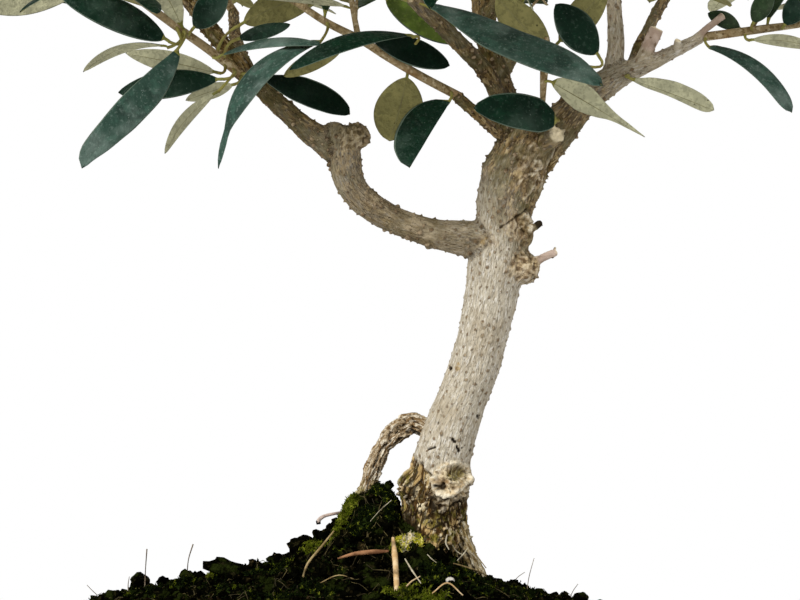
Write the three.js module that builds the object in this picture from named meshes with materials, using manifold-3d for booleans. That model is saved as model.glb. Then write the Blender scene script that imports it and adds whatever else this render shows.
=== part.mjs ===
// Olive bonsai in a plain oval pot: pot, soil mound, leaning trunk with its roots, boughs and leafy masses.
//
// Units are millimetres and +Z is up. The origin is the centre of the pot's flat underside.
// The tree leans towards +X and shows its best side towards -Y.
import * as THREE from "three";
import { mergeVertices } from "three/addons/utils/BufferGeometryUtils.js";
import Module from "manifold-3d";

const wasm = await Module();
wasm.setup();

// Driving dimensions

const CLEAR = 0.3; // gap between a piece and what it rests on or grows out of
const GROUND = 80; // height of the flat cut under the trunk
const MEND = 0.03; // slivers narrower than this are taken out of a fused mass

const POT = {
  length: 240,
  width: 176,
  height: 60,
  wall: 7,
  floor: 9,
  lip: 9, // height of the rim's band
  lipOut: 3, // how far the band stands out
  footIn: 24, // how far the foot is set in from the rim
  footHeight: 6,
  belly: 7, // how much the wall leans in towards the foot
  sides: 34,
};

const SOIL = {
  edge: 56, // height where the soil meets the pot
  swell: 17, // rise from the edge to the middle
  fall: 0.8, // how evenly the rise falls off: 0.5 is a dome and 1 a wide cone
  heaps: [
    { x: 13, y: 5, height: 32.5, left: 19, right: 12, deep: 16 }, // under the arched root
    { x: 31, y: -7, height: 15, left: 7, right: 7, deep: 9 }, // round the trunk's foot
  ],
  lump: 1.3, // height of the clods
  rings: 8,
};

const LEAF = {
  length: 45,
  width: 11.5,
  spread: 55, // degrees from the twig to the leaf
  thickness: 1.1,
  shoulders: [0.28, 0.74], // where the blade reaches its full width, as shares of its length
  bow: 0.07, // rise of the blade's middle, as a share of its length
  sunk: 0.4, // how far the foot runs on past the twig's middle
  tries: 6, // angles and sizes tried for a leaf before it is left out
  keepApart: 2.2, // least distance between two blades of one mass
  keepOff: 5.6, // least distance to a blade of another mass
};

const TWIG = {
  internode: 12,
  wander: 0.22, // how strongly a stem strays at each node; its side shoots are straight
  fork: 52, // degrees from a stem to its side shoots
  stemRadius: 1.7,
  shootRadius: 1.1,
  spurRadius: 0.8,
  tipShare: 0.6, // thickness at a twig's tip, as a share of its foot
  overrun: 1.6, // how far a twig runs on past its last node
  stagger: 0.9, // how far the two sides of a node lie before and after it
};

// Finishes

const finish = (color, roughness) => new THREE.MeshStandardMaterial({ color, roughness, metalness: 0 });
const BARK = finish(0xa59a88, 0.9);
const OLD_BARK = finish(0x7d6a52, 0.95);
const LEAVES = finish(0x33503f, 0.5);
const EARTH = finish(0x2a2a1c, 1);
const CLAY = finish(0x6b5546, 0.8);

// Wood: every limb is a curve through a few points, with radii spread evenly along it.
// A limb grows out of its parent, so its first point lies inside the parent.
// lumps are [x, y, z, radius] and stubs are [from, to, radius].

const WOOD = [
  {
    name: "trunk",
    points: [
      [30, 0, 74],
      [32, 0, 100],
      [36, 0, 122],
      [46, 0, 150],
      [53, 0, 184],
      [55.5, 0, 202],
      [63.5, 0, 223],
    ],
    radii: [13.4, 12.2, 10.4, 9.1, 8.4, 8.2, 8.5, 9.6, 9, 10.6, 9.2],
    sides: 13,
    steps: 13,
    flare: { lobes: 3, depth: 0.16, upTo: 0.28 },
    lumps: [[61, -2, 178.5, 5.6], [60, -3, 189.5, 4.4], [35.5, -7, 107, 6.2]],
    stubs: [
      [[61, -3, 179], [72, -4, 184], 1.3],
      [[60, -3, 190], [67, -4, 193.5], 1.2],
      [[65, -5, 219], [71, -8.5, 226.5], 2.4],
    ],
    finish: BARK,
  },
  {
    name: "arched_root_top",
    parent: "trunk",
    points: [[34, 6, 121], [25, 10, 126.4], [17.5, 9.5, 122.5], [13, 8, 116]],
    radii: [3.4, 4.1, 4, 3.9],
    finish: OLD_BARK,
  },
  {
    name: "arched_root_leg",
    parent: "arched_root_top",
    points: [[14.2, 8.3, 118], [9.3, 6.5, 107], [6.5, 5, 92]],
    radii: [3.2, 3.6, 3.6, 3.5],
    steps: 6,
    finish: OLD_BARK,
  },
  {
    name: "surface_root",
    parent: "trunk",
    points: [[40, -2, 92], [44, -4, 84], [47, -6, 76]],
    radii: [3.4, 2.8, 1.4],
    steps: 6,
    finish: OLD_BARK,
  },
  {
    name: "left_bough_low",
    parent: "trunk",
    points: [[52, 0, 187], [30, 0, 190.5], [16.5, 0, 195.5], [7.5, 0, 201.5]],
    radii: [8.6, 5.4, 4.6, 4.5, 4.6],
    finish: BARK,
  },
  {
    name: "left_bough_knee",
    parent: "left_bough_low",
    points: [[9, 0, 200.4], [3.2, 0, 207.5], [1.5, 0, 216], [1.5, 0, 222]],
    radii: [3.6, 4.8, 5.6, 6],
    lumps: [[5.5, -1, 222.5, 4.6], [-2, 0, 222.5, 4.9]],
    finish: BARK,
  },
  {
    name: "left_bough_high",
    parent: "left_bough_knee",
    points: [[1, 0, 215.5], [-12, 1, 226], [-25, 2, 237.5], [-37, 5, 251], [-46, 9, 262], [-53, 12, 272]],
    radii: [5.2, 5, 3.9, 3.6, 3.3, 3, 2.6],
    finish: BARK,
  },
  {
    name: "left_bough_front",
    parent: "left_bough_high",
    points: [[-26, 2, 238.5], [-30, -4, 240.5], [-34, -9, 243.5]],
    radii: [2.2, 2, 1.9],
    sides: 7,
    steps: 5,
    finish: BARK,
  },
  {
    name: "left_bough_rear",
    parent: "left_bough_high",
    points: [[-31, 3.5, 244], [-36, 22, 256], [-39, 42, 270]],
    radii: [2.8, 2.4, 2],
    sides: 7,
    steps: 5,
    finish: BARK,
  },
  {
    name: "right_bough",
    parent: "trunk",
    points: [[63, 1, 214], [81, 2, 234.5], [93, 3, 243], [104, 3, 247.5], [121, 3, 256]],
    radii: [7.6, 5.9, 5, 4.3, 3],
    stubs: [[[101, 2, 247], [105, 0, 256.5], 2.2], [[114, 2, 252], [128, 1, 263], 1.8]],
    finish: BARK,
  },
  {
    name: "right_bough_upright",
    parent: "right_bough",
    points: [[90, 3, 241], [92.5, 5, 252], [92, 9, 272]],
    radii: [3.2, 2.8, 2.4],
    sides: 7,
    steps: 5,
    finish: BARK,
  },
  {
    name: "right_bough_rear",
    parent: "right_bough",
    points: [[97, 3, 245], [106, 20, 258], [113, 36, 274]],
    radii: [2.8, 2.4, 2],
    sides: 7,
    steps: 5,
    finish: BARK,
  },
  {
    name: "centre_bough",
    parent: "trunk",
    points: [[59, -1, 219], [50, -7, 240.5], [42, -15, 249], [24, -26, 265]],
    radii: [4.4, 3.8, 3.3, 2.5],
    finish: BARK,
  },
  {
    name: "apex_bough",
    parent: "trunk",
    points: [[61, 3, 217], [54, 7, 240], [48.5, 9, 262], [47, 9, 294]],
    radii: [4.8, 4.2, 3.6, 2.8],
    finish: BARK,
  },
  {
    name: "front_bough",
    parent: "apex_bough",
    points: [[49, 9, 262], [58, -12, 276], [64, -32, 290]],
    radii: [2.7, 2.3, 2],
    sides: 7,
    steps: 5,
    finish: BARK,
  },
  {
    name: "crotch_shoot",
    parent: "trunk",
    points: [[62, -5, 218], [64, -12, 226], [66.5, -15, 231]],
    radii: [1.8, 1.6, 1.4],
    sides: 7,
    steps: 5,
    finish: BARK,
  },
  {
    name: "right_shoot",
    parent: "right_bough",
    points: [[96, 2, 244], [98.5, -5, 243.5], [102, -10, 243]],
    radii: [1.6, 1.4, 1.2],
    sides: 7,
    steps: 4,
    finish: BARK,
  },
  {
    name: "back_bough",
    parent: "trunk",
    points: [[61, 2, 210], [66, 24, 234], [64, 46, 262]],
    radii: [3.8, 3.2, 2.5],
    steps: 8,
    finish: BARK,
  },
  {
    name: "fork_bough",
    parent: "trunk",
    points: [[58, -2, 219], [46, -6, 229], [38, -9.6, 235.7]],
    radii: [2.4, 2.1, 1.9],
    sides: 7,
    steps: 5,
    finish: BARK,
  },
];

// The crown's underside, higher towards the back: only stems and leaves shown hanging free reach below it.
const CROWN = { underside: 264, rise: 0.138 };

// Leafy masses: each grows from one stem at its bough's tip and keeps to the space round its centre.
// shown holds the leaves that hang free below the crown: [foot, tip, width, way its upper face looks, bow].

const MASSES = [
  {
    name: "foliage_left_low",
    bough: "left_bough_front",
    heading: [-0.8, -0.2, 0.58],
    nodes: 5,
    centre: [-68, -30, 262],
    reach: 52,
    seed: 8015,
    shown: [
      [[-53.4, -24, 250.7], [-87.2, -34, 265.7], 11, [0.15, -0.9, 0.45]],
      [[-54.5, -20, 249.9], [-84.2, -10, 244.2], 8, [0, 0.25, 1], 0.12],
      [[-41.3, -12, 242.7], [-70.7, -2, 250.4], 9, [0, 0.9, 0.45], 0.05],
      [[-51.3, -26, 248.6], [-78.7, -48, 209], 12, [0.3, -1, 0.2], 0.05],
      [[-39.5, -17, 239.9], [-72.7, -10, 236.3], 9.5, [0, -0.85, 0.5]],
      [[-33.7, -12, 238.8], [-50.9, -4, 234.3], 7, [0, 0.9, 0.4]],
      [[-38.4, -19, 236.1], [-56.3, -27, 215.4], 6, [0.2, 0.95, 0.25], 0.1],
      [[-39.9, -16, 246.8], [-5.1, -40, 249.7], 9, [0, -0.55, 0.85]],
      [[-24.9, -16, 240.3], [3.8, -19, 228.3], 9.5, [0.1, -0.9, 0.4]],
      [[-33.5, -6, 258.6], [-5, 0, 272], 12, [0, 0.9, 0.4], 0.05],
      [[-34.1, -12, 253.2], [-16.1, -10, 258.7], 7, [0, -0.8, 0.6], 0.05],
      [[-47.6, -18, 255.7], [-35.8, -26, 268.1], 10, [0.2, -0.9, 0.3]],
    ],
  },
  {
    name: "foliage_left_top",
    bough: "left_bough_high",
    heading: [-0.62, 0.15, 0.75],
    nodes: 5,
    centre: [-84, 16, 300],
    reach: 62,
    seed: 2207,
    shown: [[[-81.4, -2, 272.4], [-119.8, -14, 265], 13, [0, 0.95, 0.3], 0.05]],
  },
  {
    name: "foliage_left_rear",
    bough: "left_bough_rear",
    heading: [-0.25, 0.75, 0.55],
    nodes: 5,
    centre: [-32, 70, 298],
    reach: 60,
    seed: 3307,
    shown: [],
  },
  {
    name: "foliage_inner",
    bough: "fork_bough",
    heading: [-0.84, -0.13, 0.5],
    nodes: 6,
    centre: [-2, -16, 268],
    reach: 50,
    seed: 1203,
    shown: [
      [[22.6, -9, 243], [16.7, -17, 219.1], 16, [0.15, 1, 0.1], 0.06],
      [[36.3, -15, 233.2], [22.9, -30, 210.4], 12, [-0.35, -0.9, 0.2], 0.1],
      [[-5, -28, 251.2], [-36.7, -46, 209.1], 8.5, [-0.55, -0.7, 0.45], 0.2],
      [[25.2, -22, 253.2], [-14.3, -46, 240.9], 9, [0, -0.6, 0.8], 0.1],
      [[2.5, -30, 247.8], [-17, -36, 238.8], 6, [0.2, 0.9, 0.4], 0.05],
      [[8.6, -17, 253.9], [36.2, -19, 244.5], 10.5, [0, -0.9, 0.4], 0.05],
    ],
  },
  {
    name: "foliage_centre",
    bough: "centre_bough",
    heading: [-0.2, -0.65, 0.75],
    nodes: 5,
    centre: [26, -54, 294],
    reach: 56,
    seed: 5503,
    shown: [
      [[27.7, -29, 262.3], [82.4, -54, 234.1], 11, [0.2, -0.75, 0.65]],
      [[13.4, -8, 268.2], [40.5, -6, 253.9], 13, [0, -0.9, 0.4], 0.05],
    ],
  },
  {
    name: "foliage_apex",
    bough: "apex_bough",
    heading: [-0.05, 0.05, 1],
    nodes: 5,
    centre: [40, 10, 334],
    reach: 62,
    seed: 6607,
    shown: [],
  },
  {
    name: "foliage_front",
    bough: "front_bough",
    heading: [0.35, -0.7, 0.6],
    nodes: 5,
    centre: [80, -54, 308],
    reach: 56,
    seed: 7703,
    shown: [],
  },
  {
    name: "foliage_crotch",
    bough: "crotch_shoot",
    heading: [0.25, -0.15, 1],
    nodes: 2,
    centre: [72, -16, 256],
    reach: 30,
    seed: 1511,
    shown: [
      [[70.8, -20, 226], [43.6, -29, 229.3], 14.5, [0.1, -0.92, 0.4], 0.06],
      [[69.3, -19, 238.7], [98.2, -30, 220], 10, [-0.1, 0.85, 0.45]],
      [[85, -18, 246.6], [70.4, -22, 263.6], 14, [0.2, -0.9, 0.3], 0.05],
      [[69.8, -17, 247.7], [51.4, -20, 266.4], 12, [0, 0.9, 0.4], 0.05],
      [[71, -13, 251.4], [87.8, -9, 271.3], 11, [0, 0.9, 0.4], 0.05],
    ],
  },
  {
    name: "foliage_back",
    bough: "back_bough",
    heading: [0.05, 0.75, 0.65],
    nodes: 5,
    centre: [58, 78, 304],
    reach: 62,
    seed: 8807,
    shown: [],
  },
  {
    name: "foliage_right_under",
    bough: "right_shoot",
    heading: [0.8, 0, -0.3],
    nodes: 1,
    centre: [112, -16, 238],
    reach: 44,
    seed: 1613,
    shown: [[[96.4, -8, 240.8], [123.8, -6, 230.8], 9, [0, 0.85, 0.5]]],
  },
  {
    name: "foliage_right_low",
    bough: "right_bough",
    heading: [0.97, -0.08, 0.16],
    nodes: 4,
    centre: [142, -8, 270],
    reach: 50,
    seed: 9083,
    shown: [
      [[122.5, -1, 252.5], [147.7, -16, 229.2], 7.5, [0.45, -0.7, 0.5], 0.14],
      [[135.8, -1, 254.5], [156.8, -8, 251.4], 6, [0, 0.6, 0.8]],
      [[134.7, 4, 258.5], [123.4, 5, 264.4], 6.5, [0, -0.9, 0.4], 0.05],
      [[137, -2, 259.4], [142.9, -6, 270.4], 7, [0.3, -0.9, 0.3], 0.05],
      [[147.3, -2, 258.7], [154.2, -6, 269.8], 8, [0.2, -0.9, 0.3], 0.05],
    ],
  },
  {
    name: "foliage_right_top",
    bough: "right_bough_upright",
    heading: [0.2, -0.1, 1],
    nodes: 5,
    centre: [108, -4, 318],
    reach: 60,
    seed: 1307,
    shown: [],
  },
  {
    name: "foliage_right_rear",
    bough: "right_bough_rear",
    heading: [0.4, 0.65, 0.65],
    nodes: 5,
    centre: [128, 58, 302],
    reach: 56,
    seed: 1409,
    shown: [],
  },
];

// Small helpers

const UP = new THREE.Vector3(0, 0, 1);
const vector = (xyz) => new THREE.Vector3(...xyz);
const radians = THREE.MathUtils.degToRad;

// The value at share t of an evenly spread list, on straight lines between its entries.
function spread(values, t) {
  const place = Math.min(Math.max(t, 0), 1) * (values.length - 1);
  const low = Math.min(Math.floor(place), values.length - 2);
  return THREE.MathUtils.lerp(values[low], values[low + 1], place - low);
}

// Seeded numbers from 0 to 1, the same on every run.
function dice(seed) {
  let state = seed;
  return () => {
    state = (state * 48271) % 2147483647;
    return state / 2147483647;
  };
}

// Moves every vertex of a geometry to the place that a function gives, and leaves only merged positions.
function reshape(geometry, place) {
  const bare = new THREE.BufferGeometry();
  bare.setAttribute("position", geometry.attributes.position);
  bare.setIndex(geometry.index);
  const merged = mergeVertices(bare, 1e-4);
  const position = merged.attributes.position;
  for (let i = 0; i < position.count; i++) {
    const moved = place(position.getX(i), position.getY(i), position.getZ(i));
    position.setXYZ(i, moved.x, moved.y, moved.z);
  }
  return merged;
}

function toSolid(geometry) {
  return new wasm.Manifold(
    new wasm.Mesh({
      numProp: 3,
      vertProperties: new Float32Array(geometry.attributes.position.array),
      triVerts: new Uint32Array(geometry.index.array),
    }),
  );
}

function toGeometry(solid) {
  const { vertProperties, triVerts } = solid.getMesh();
  const geometry = new THREE.BufferGeometry();
  geometry.setAttribute("position", new THREE.BufferAttribute(vertProperties, 3));
  geometry.setIndex(new THREE.BufferAttribute(triVerts, 1));
  geometry.computeVertexNormals();
  return geometry;
}

const joined = (solids) => solids.reduce((sum, solid) => sum.add(solid));

// The largest body of a solid, without the loose scraps and sealed hollows that cutting or joining can leave.
function mainBody(solid) {
  return solid.decompose().reduce((most, body) => (body.volume() > most.volume() ? body : most));
}

function node(name, solid, material) {
  const mesh = new THREE.Mesh(toGeometry(solid), material);
  mesh.name = name;
  return mesh;
}

// Pot and soil

// A lathe profile of [radius, height] pairs, turned about Z and narrowed to the pot's oval.
function ovalTurning(profile, sides, lift = () => 0) {
  const points = profile.map(([radius, height]) => new THREE.Vector2(radius, height));
  const turned = new THREE.LatheGeometry(points, sides);
  return toSolid(
    reshape(turned, (x, y, z) => {
      const place = new THREE.Vector3(x, (-z * POT.width) / POT.length, y);
      place.z += lift(place);
      return place;
    }),
  );
}

// The pot's inside, from the middle of its floor up to the rim.
function potInside() {
  const { length, height, wall, floor, lip, lipOut, belly } = POT;
  const mouth = length / 2 - wall;
  const deep = mouth - lipOut - belly;
  return [
    [0, floor],
    [deep - 3, floor],
    [deep, floor + 3],
    [mouth - lipOut, height - lip],
    [mouth, height],
  ];
}

function potSolid() {
  const { length, height, lip, lipOut, footIn, footHeight, belly, sides } = POT;
  const rim = length / 2;
  const body = rim - lipOut;
  const foot = rim - footIn;
  const ease = 1.5; // softened edges
  const outside = [
    [0, 0],
    [foot, 0],
    [foot, footHeight],
    [body - belly - ease, footHeight],
    [body - belly, footHeight + 2 * ease],
    [body - belly / 3, height / 2],
    [body, height - lip],
    [rim, height - lip],
    [rim, height - ease],
    [rim - ease, height],
  ];
  return ovalTurning([...outside, ...potInside().reverse()], sides);
}

// Height that the heaped soil adds at a point, 0 at the pot's wall.
function moundRise({ x, y }) {
  const { swell, fall, heaps, lump } = SOIL;
  const inner = POT.length / 2 - POT.wall - POT.lipOut;
  const share = Math.hypot(x, (y * POT.length) / POT.width) / inner;
  const inside = Math.max(0, 1 - share * share);
  const heaped = heaps.map((heap) => {
    const aside = (x - heap.x) / (x < heap.x ? heap.left : heap.right);
    return heap.height / (1 + aside ** 2 + ((y - heap.y) / heap.deep) ** 2);
  });
  const clods = lump * Math.sin(x * 0.31 + y * 0.17) * Math.cos(y * 0.37 - x * 0.11);
  const fade = Math.min(1, 3 * inside);
  return swell * inside ** fall + (heaped[0] + heaped[1] + clods) * fade;
}

function soilSolid() {
  const { edge, rings } = SOIL;
  const gap = 2 * CLEAR; // wider than CLEAR, because the oval narrows it
  const filling = potInside()
    .slice(0, -1)
    .map(([radius, height]) => [Math.max(0, radius - gap), height + CLEAR]);
  const mouth = filling.at(-1)[0];
  const top = Array.from({ length: rings }, (_, ring) => [mouth * (1 - ring / (rings - 1)), edge]);
  const heaped = (place) => (place.z > edge - 0.01 ? moundRise(place) : 0);
  return ovalTurning([...filling, ...top], POT.sides, heaped);
}

// Wood

const curveOf = (points) => new THREE.CatmullRomCurve3(points, false, "catmullrom", 0.5);

const evenly = (curve, t) => curve.getPointAt(t);
const fromNodeToNode = (curve, t) => curve.getPoint(t);

// A capped cylinder bent along a curve and tapered, grown outwards by a little where a cutter is wanted.
function limbSolid(limb, grown = 0) {
  const { points, radii, sides = 9, steps = 7, flare, overrun = 0, ringsLie = evenly } = limb;
  const curve = curveOf(points.map(vector));
  const { tangents, normals, binormals } = curve.computeFrenetFrames(steps, false);
  const cylinder = new THREE.CylinderGeometry(1, 1, 1, sides, steps);
  return toSolid(
    reshape(cylinder, (x, y, z) => {
      const ring = Math.round((y + 0.5) * steps);
      const t = ring / steps;
      const fade = flare ? Math.max(0, 1 - t / flare.upTo) : 0;
      const flute = fade ? 1 + flare.depth * fade * Math.cos(flare.lobes * Math.atan2(z, x)) : 1;
      const radius = spread(radii, t) * flute + grown;
      const past = (overrun + grown) * ((ring === steps) - (ring === 0));
      return ringsLie(curve, t)
        .addScaledVector(tangents[ring], past)
        .addScaledVector(normals[ring], x * radius)
        .addScaledVector(binormals[ring], -z * radius);
    }),
  );
}

function lumpSolid([x, y, z, radius], grown) {
  const ball = new THREE.IcosahedronGeometry(radius + grown, 1);
  return toSolid(reshape(ball, (...xyz) => vector(xyz).add(new THREE.Vector3(x, y, z))));
}

function woodSolid(piece, grown = 0) {
  const stubs = (piece.stubs ?? []).map(([from, to, radius]) =>
    limbSolid({ points: [from, to], radii: [radius * 1.1, radius], sides: 7, steps: 1 }, grown),
  );
  const lumps = (piece.lumps ?? []).map((lump) => lumpSolid(lump, grown));
  return joined([limbSolid(piece, grown), ...lumps, ...stubs]);
}

const woodNamed = (name) => WOOD.find((piece) => piece.name === name);

// Everything below the ground, to cut the trunk flat.
function underground(ground) {
  const size = 200;
  const block = new THREE.BoxGeometry(size, size, size);
  return toSolid(reshape(block, (x, y, z) => new THREE.Vector3(x, y, z + ground - size / 2)));
}

// A limb starts clear of its parent and of the limbs that left the same parent before it.
function cutLimb(piece) {
  const elders = WOOD.slice(0, WOOD.indexOf(piece)).filter((other) => other.parent === piece.parent);
  const parent = woodNamed(piece.parent);
  const cutters = [parent, ...elders].map((other) => woodSolid(other, CLEAR));
  return mainBody(cutters.reduce((solid, cutter) => solid.subtract(cutter), woodSolid(piece)));
}

// Growth rule of the leafy masses

// Points along every limb, with the radius there, for keeping twigs and leaves off the wood.
const limbPoints = WOOD.flatMap((piece) => {
  const curve = curveOf(piece.points.map(vector));
  const count = Math.ceil(curve.getLength() / 2);
  const along = Array.from({ length: count + 1 }, (_, i) => ({
    name: piece.name,
    point: curve.getPointAt(i / count),
    radius: spread(piece.radii, i / count),
  }));
  const lumps = (piece.lumps ?? []).map(([x, y, z, radius]) => ({
    name: piece.name,
    point: new THREE.Vector3(x, y, z),
    radius,
  }));
  return [...along, ...lumps];
});

const clearOfWood = (point, margin, except) =>
  limbPoints.every((limb) => limb.name === except || limb.point.distanceTo(point) > limb.radius + margin);

// How far a point lies inside the space of a mass, from the nearest border with another mass or the air.
function depthInSpace(mass, point) {
  const middle = vector(mass.centre);
  const own = point.distanceToSquared(middle) - mass.reach ** 2;
  const borders = MASSES.filter((other) => other !== mass).map((other) => {
    const away = vector(other.centre);
    return (point.distanceToSquared(away) - other.reach ** 2 - own) / (2 * away.distanceTo(middle));
  });
  return Math.min(mass.reach - point.distanceTo(middle), ...borders);
}

// A leaf's frame: its foot, length, width, and the directions along, across and out of its upper face.
function leafFrame(foot, along, length, width, facing, bow = LEAF.bow) {
  const direction = along.clone().normalize();
  const across = direction.clone().cross(facing).normalize();
  const face = across.clone().cross(direction);
  return { foot, direction, across, face, length, width, bow };
}

// The point of a blade at share s of its length, v of its half width and h of its half thickness.
function leafPoint({ foot, direction, across, face, length, width, bow }, s, v, h) {
  const rise = bow * length * 4 * s * (1 - s) + (h * LEAF.thickness) / 2;
  return foot
    .clone()
    .addScaledVector(direction, s * length)
    .addScaledVector(across, (v * width) / 2)
    .addScaledVector(face, rise);
}

// Points over the free part of a blade, close enough together that two crossing blades can't miss each other.
function leafSamples(leaf) {
  const shares = [0.2, 0.36, 0.52, 0.68, 0.84, 1];
  const halfWidth = (s) => Math.min(1, 4 * s * (1.1 - s));
  return shares.flatMap((s) => [-1, 0, 1].map((v) => leafPoint(leaf, s, v * halfWidth(s), 0)));
}

const nearest = (points, others) => Math.min(...points.flatMap((a) => others.map((b) => a.distanceTo(b))));

// Directions across a twig: a pair of opposite sides that turns a quarter from node to node.
function sideOf(direction, turn) {
  const level = direction.clone().cross(UP);
  const across = level.lengthSq() < 1e-6 ? new THREE.Vector3(1, 0, 0) : level.normalize();
  return across.applyAxisAngle(direction, radians(turn));
}

// One mass as it grows: its twigs and leaves so far.
function startMass(mass) {
  const bough = woodNamed(mass.bough);
  return { mass, roll: dice(mass.seed), root: vector(bough.points.at(-1)), twigs: [], leaves: [] };
}

const underCrown = ({ y, z }) => z < CROWN.underside + CROWN.rise * y;

// A twig's line from node to node, cut short where it would leave the space or the crown, or touch wood.
function twigLine(growth, from, heading, nodes, wander) {
  const { mass, roll, twigs } = growth;
  const isStem = !twigs.length;
  const ownBough = isStem ? mass.bough : null; // only the stem starts at the bough
  const line = [from.clone()];
  const direction = heading.clone().normalize();
  for (let i = 0; i < nodes; i++) {
    const stray = new THREE.Vector3(roll() - 0.5, roll() - 0.5, 0.6 * roll() - 0.2);
    direction.addScaledVector(stray, 2 * wander).normalize();
    const next = line.at(-1).clone().addScaledVector(direction, TWIG.internode * (0.85 + 0.3 * roll()));
    if (depthInSpace(mass, next) < 2 || !clearOfWood(next, 3, ownBough)) break;
    if (!isStem && underCrown(next)) break;
    line.push(next);
  }
  return line;
}

function keepsClear(growth, leaf, everyGrowth) {
  const samples = leafSamples(leaf);
  if (samples.some((point) => depthInSpace(growth.mass, point) < 0.8)) return false;
  if (samples.some(underCrown)) return false;
  if (samples.some((point) => !clearOfWood(point, 1.4))) return false;
  return everyGrowth.every((other) => {
    const apart = other === growth ? LEAF.keepApart : LEAF.keepOff;
    const reach = (old) => old.foot.distanceTo(leaf.foot) > old.length + leaf.length + apart;
    return other.leaves.every((old) => reach(old) || nearest(samples, leafSamples(old)) > apart);
  });
}

// A leaf beside a twig, tried at a few angles and left out where none keeps clear.
function addLeaf(growth, foot, twigDirection, side, size, everyGrowth) {
  const { roll } = growth;
  for (let tries = 0; tries < LEAF.tries; tries++) {
    const spreadAngle = radians(LEAF.spread + 24 * (roll() - 0.5));
    const along = twigDirection
      .clone()
      .multiplyScalar(Math.cos(spreadAngle))
      .addScaledVector(side, Math.sin(spreadAngle))
      .addScaledVector(UP, 0.5 * (roll() - 0.6));
    const length = LEAF.length * size * (0.82 + 0.36 * roll());
    const width = LEAF.width * Math.sqrt(size) * (0.85 + 0.3 * roll());
    const facing = UP.clone().applyAxisAngle(along.clone().normalize(), radians(60 * (roll() - 0.5)));
    const leaf = leafFrame(foot, along, length, width, facing);
    if (keepsClear(growth, leaf, everyGrowth)) {
      growth.leaves.push(leaf);
      return;
    }
  }
}

// The point of a line from node to node that lies nearest to a point.
function nearestOn(line, point) {
  const feet = line.slice(1).map((end, i) => {
    return new THREE.Line3(line[i], end).closestPointToPoint(point, true, new THREE.Vector3());
  });
  return feet.reduce((a, b) => (b.distanceTo(point) < a.distanceTo(point) ? b : a));
}

// The stem, and the leaves that the mass shows below the crown, each on a spur from the stem's nearest point.
function growStem(growth) {
  const { mass, root } = growth;
  const stem = twigLine(growth, root, vector(mass.heading), mass.nodes, TWIG.wander);
  growth.twigs.push({ line: stem, radius: TWIG.stemRadius });
  const outside = [stem[0].clone().lerp(stem[1], 0.3), ...stem.slice(1)]; // clear of the bough's tip
  for (const [foot, tip, width, facing, bow] of mass.shown) {
    const start = vector(foot);
    const along = vector(tip).sub(start);
    const leaf = leafFrame(start, along, along.length(), width, vector(facing), bow);
    growth.leaves.push({ ...leaf, free: true });
    const from = nearestOn(outside, start);
    if (from.distanceTo(start) > TWIG.stemRadius) {
      growth.twigs.push({ line: [from, start], radius: TWIG.spurRadius });
    }
  }
}

// The direction in which a twig reaches its node i.
const headingAt = (line, i) => line[i].clone().sub(line[i - 1]).normalize();

// The two sides of a twig at its node i: where each starts, and which way it points.
function sidesAt(line, i, turn) {
  const direction = headingAt(line, i);
  return [-1, 1].map((hand) => ({
    start: line[i].clone().addScaledVector(direction, hand * TWIG.stagger),
    direction,
    side: sideOf(direction, turn + 90 * (i + hand)),
  }));
}

// Leaves in opposite pairs at every node of a twig.
function leafTwig(growth, line, turn, size, everyGrowth) {
  for (let i = 1; i < line.length; i++) {
    for (const { start, direction, side } of sidesAt(line, i, turn)) {
      addLeaf(growth, start, direction, side, size, everyGrowth);
    }
  }
}

// Side shoots in opposite pairs at every other node of the stem, and leaves at the nodes between.
// A shoot whose leaves all had to be left out isn't grown.
function growShoots(growth, everyGrowth) {
  const { roll, twigs, leaves } = growth;
  const stem = twigs[0].line;
  const turn = 360 * roll();
  const fork = radians(TWIG.fork);
  for (let i = 1; i < stem.length; i++) {
    for (const { start, direction, side } of sidesAt(stem, i, turn)) {
      if (i % 2 === 0) {
        addLeaf(growth, start, direction, side, 1, everyGrowth);
        continue;
      }
      const forward = direction.clone().multiplyScalar(Math.cos(fork));
      const heading = forward.addScaledVector(side, Math.sin(fork)).addScaledVector(UP, 0.3);
      const line = twigLine(growth, start, heading, 3 + Math.floor(2 * roll()), 0);
      const before = leaves.length;
      leafTwig(growth, line, turn, 1 - 0.12 * roll(), everyGrowth);
      if (leaves.length > before) twigs.push({ line, radius: TWIG.shootRadius });
    }
  }
}

// Solids of the masses

// A blade as a flattened ball whose rim is the leaf's outline: of twelve faces where it hangs free, and of
// eight faces in the crown.
function leafSolid(leaf) {
  const [low, high] = LEAF.shoulders;
  const rim = leaf.free ? Math.sqrt(3) / 2 : 1; // how far out the ball's rim is widest
  const ball = leaf.free ? new THREE.SphereGeometry(1, 6, 2) : new THREE.OctahedronGeometry(1);
  return toSolid(
    reshape(ball, (x, y, z) => {
      if (x < -0.9) return leafPoint(leaf, -LEAF.sunk / leaf.length, 0, 0);
      const s = x > 0.9 ? 1 : Math.abs(x) < 0.1 ? 0.5 : x < 0 ? low : high;
      return leafPoint(leaf, s, z / rim, y);
    }),
  );
}

function twigSolid({ line, radius }, number) {
  const bends = number === 0; // only the stem, the first twig, bends at its nodes
  const points = bends ? line : [line[0], line.at(-1)];
  return limbSolid({
    points: points.map((point) => point.toArray()),
    radii: [radius, radius * TWIG.tipShare],
    sides: 3,
    steps: points.length - 1,
    overrun: TWIG.overrun,
    ringsLie: fromNodeToNode,
  });
}

function massSolid({ mass, twigs, leaves }) {
  const pieces = [...twigs.map(twigSolid), ...leaves.map(leafSolid)];
  const fused = joined(pieces).subtract(woodSolid(woodNamed(mass.bough), CLEAR));
  return mainBody(fused).simplify(MEND);
}

// The whole plant

const bonsai = new THREE.Group();
bonsai.name = "olive_bonsai";

bonsai.add(node("pot", potSolid(), CLAY));

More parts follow.
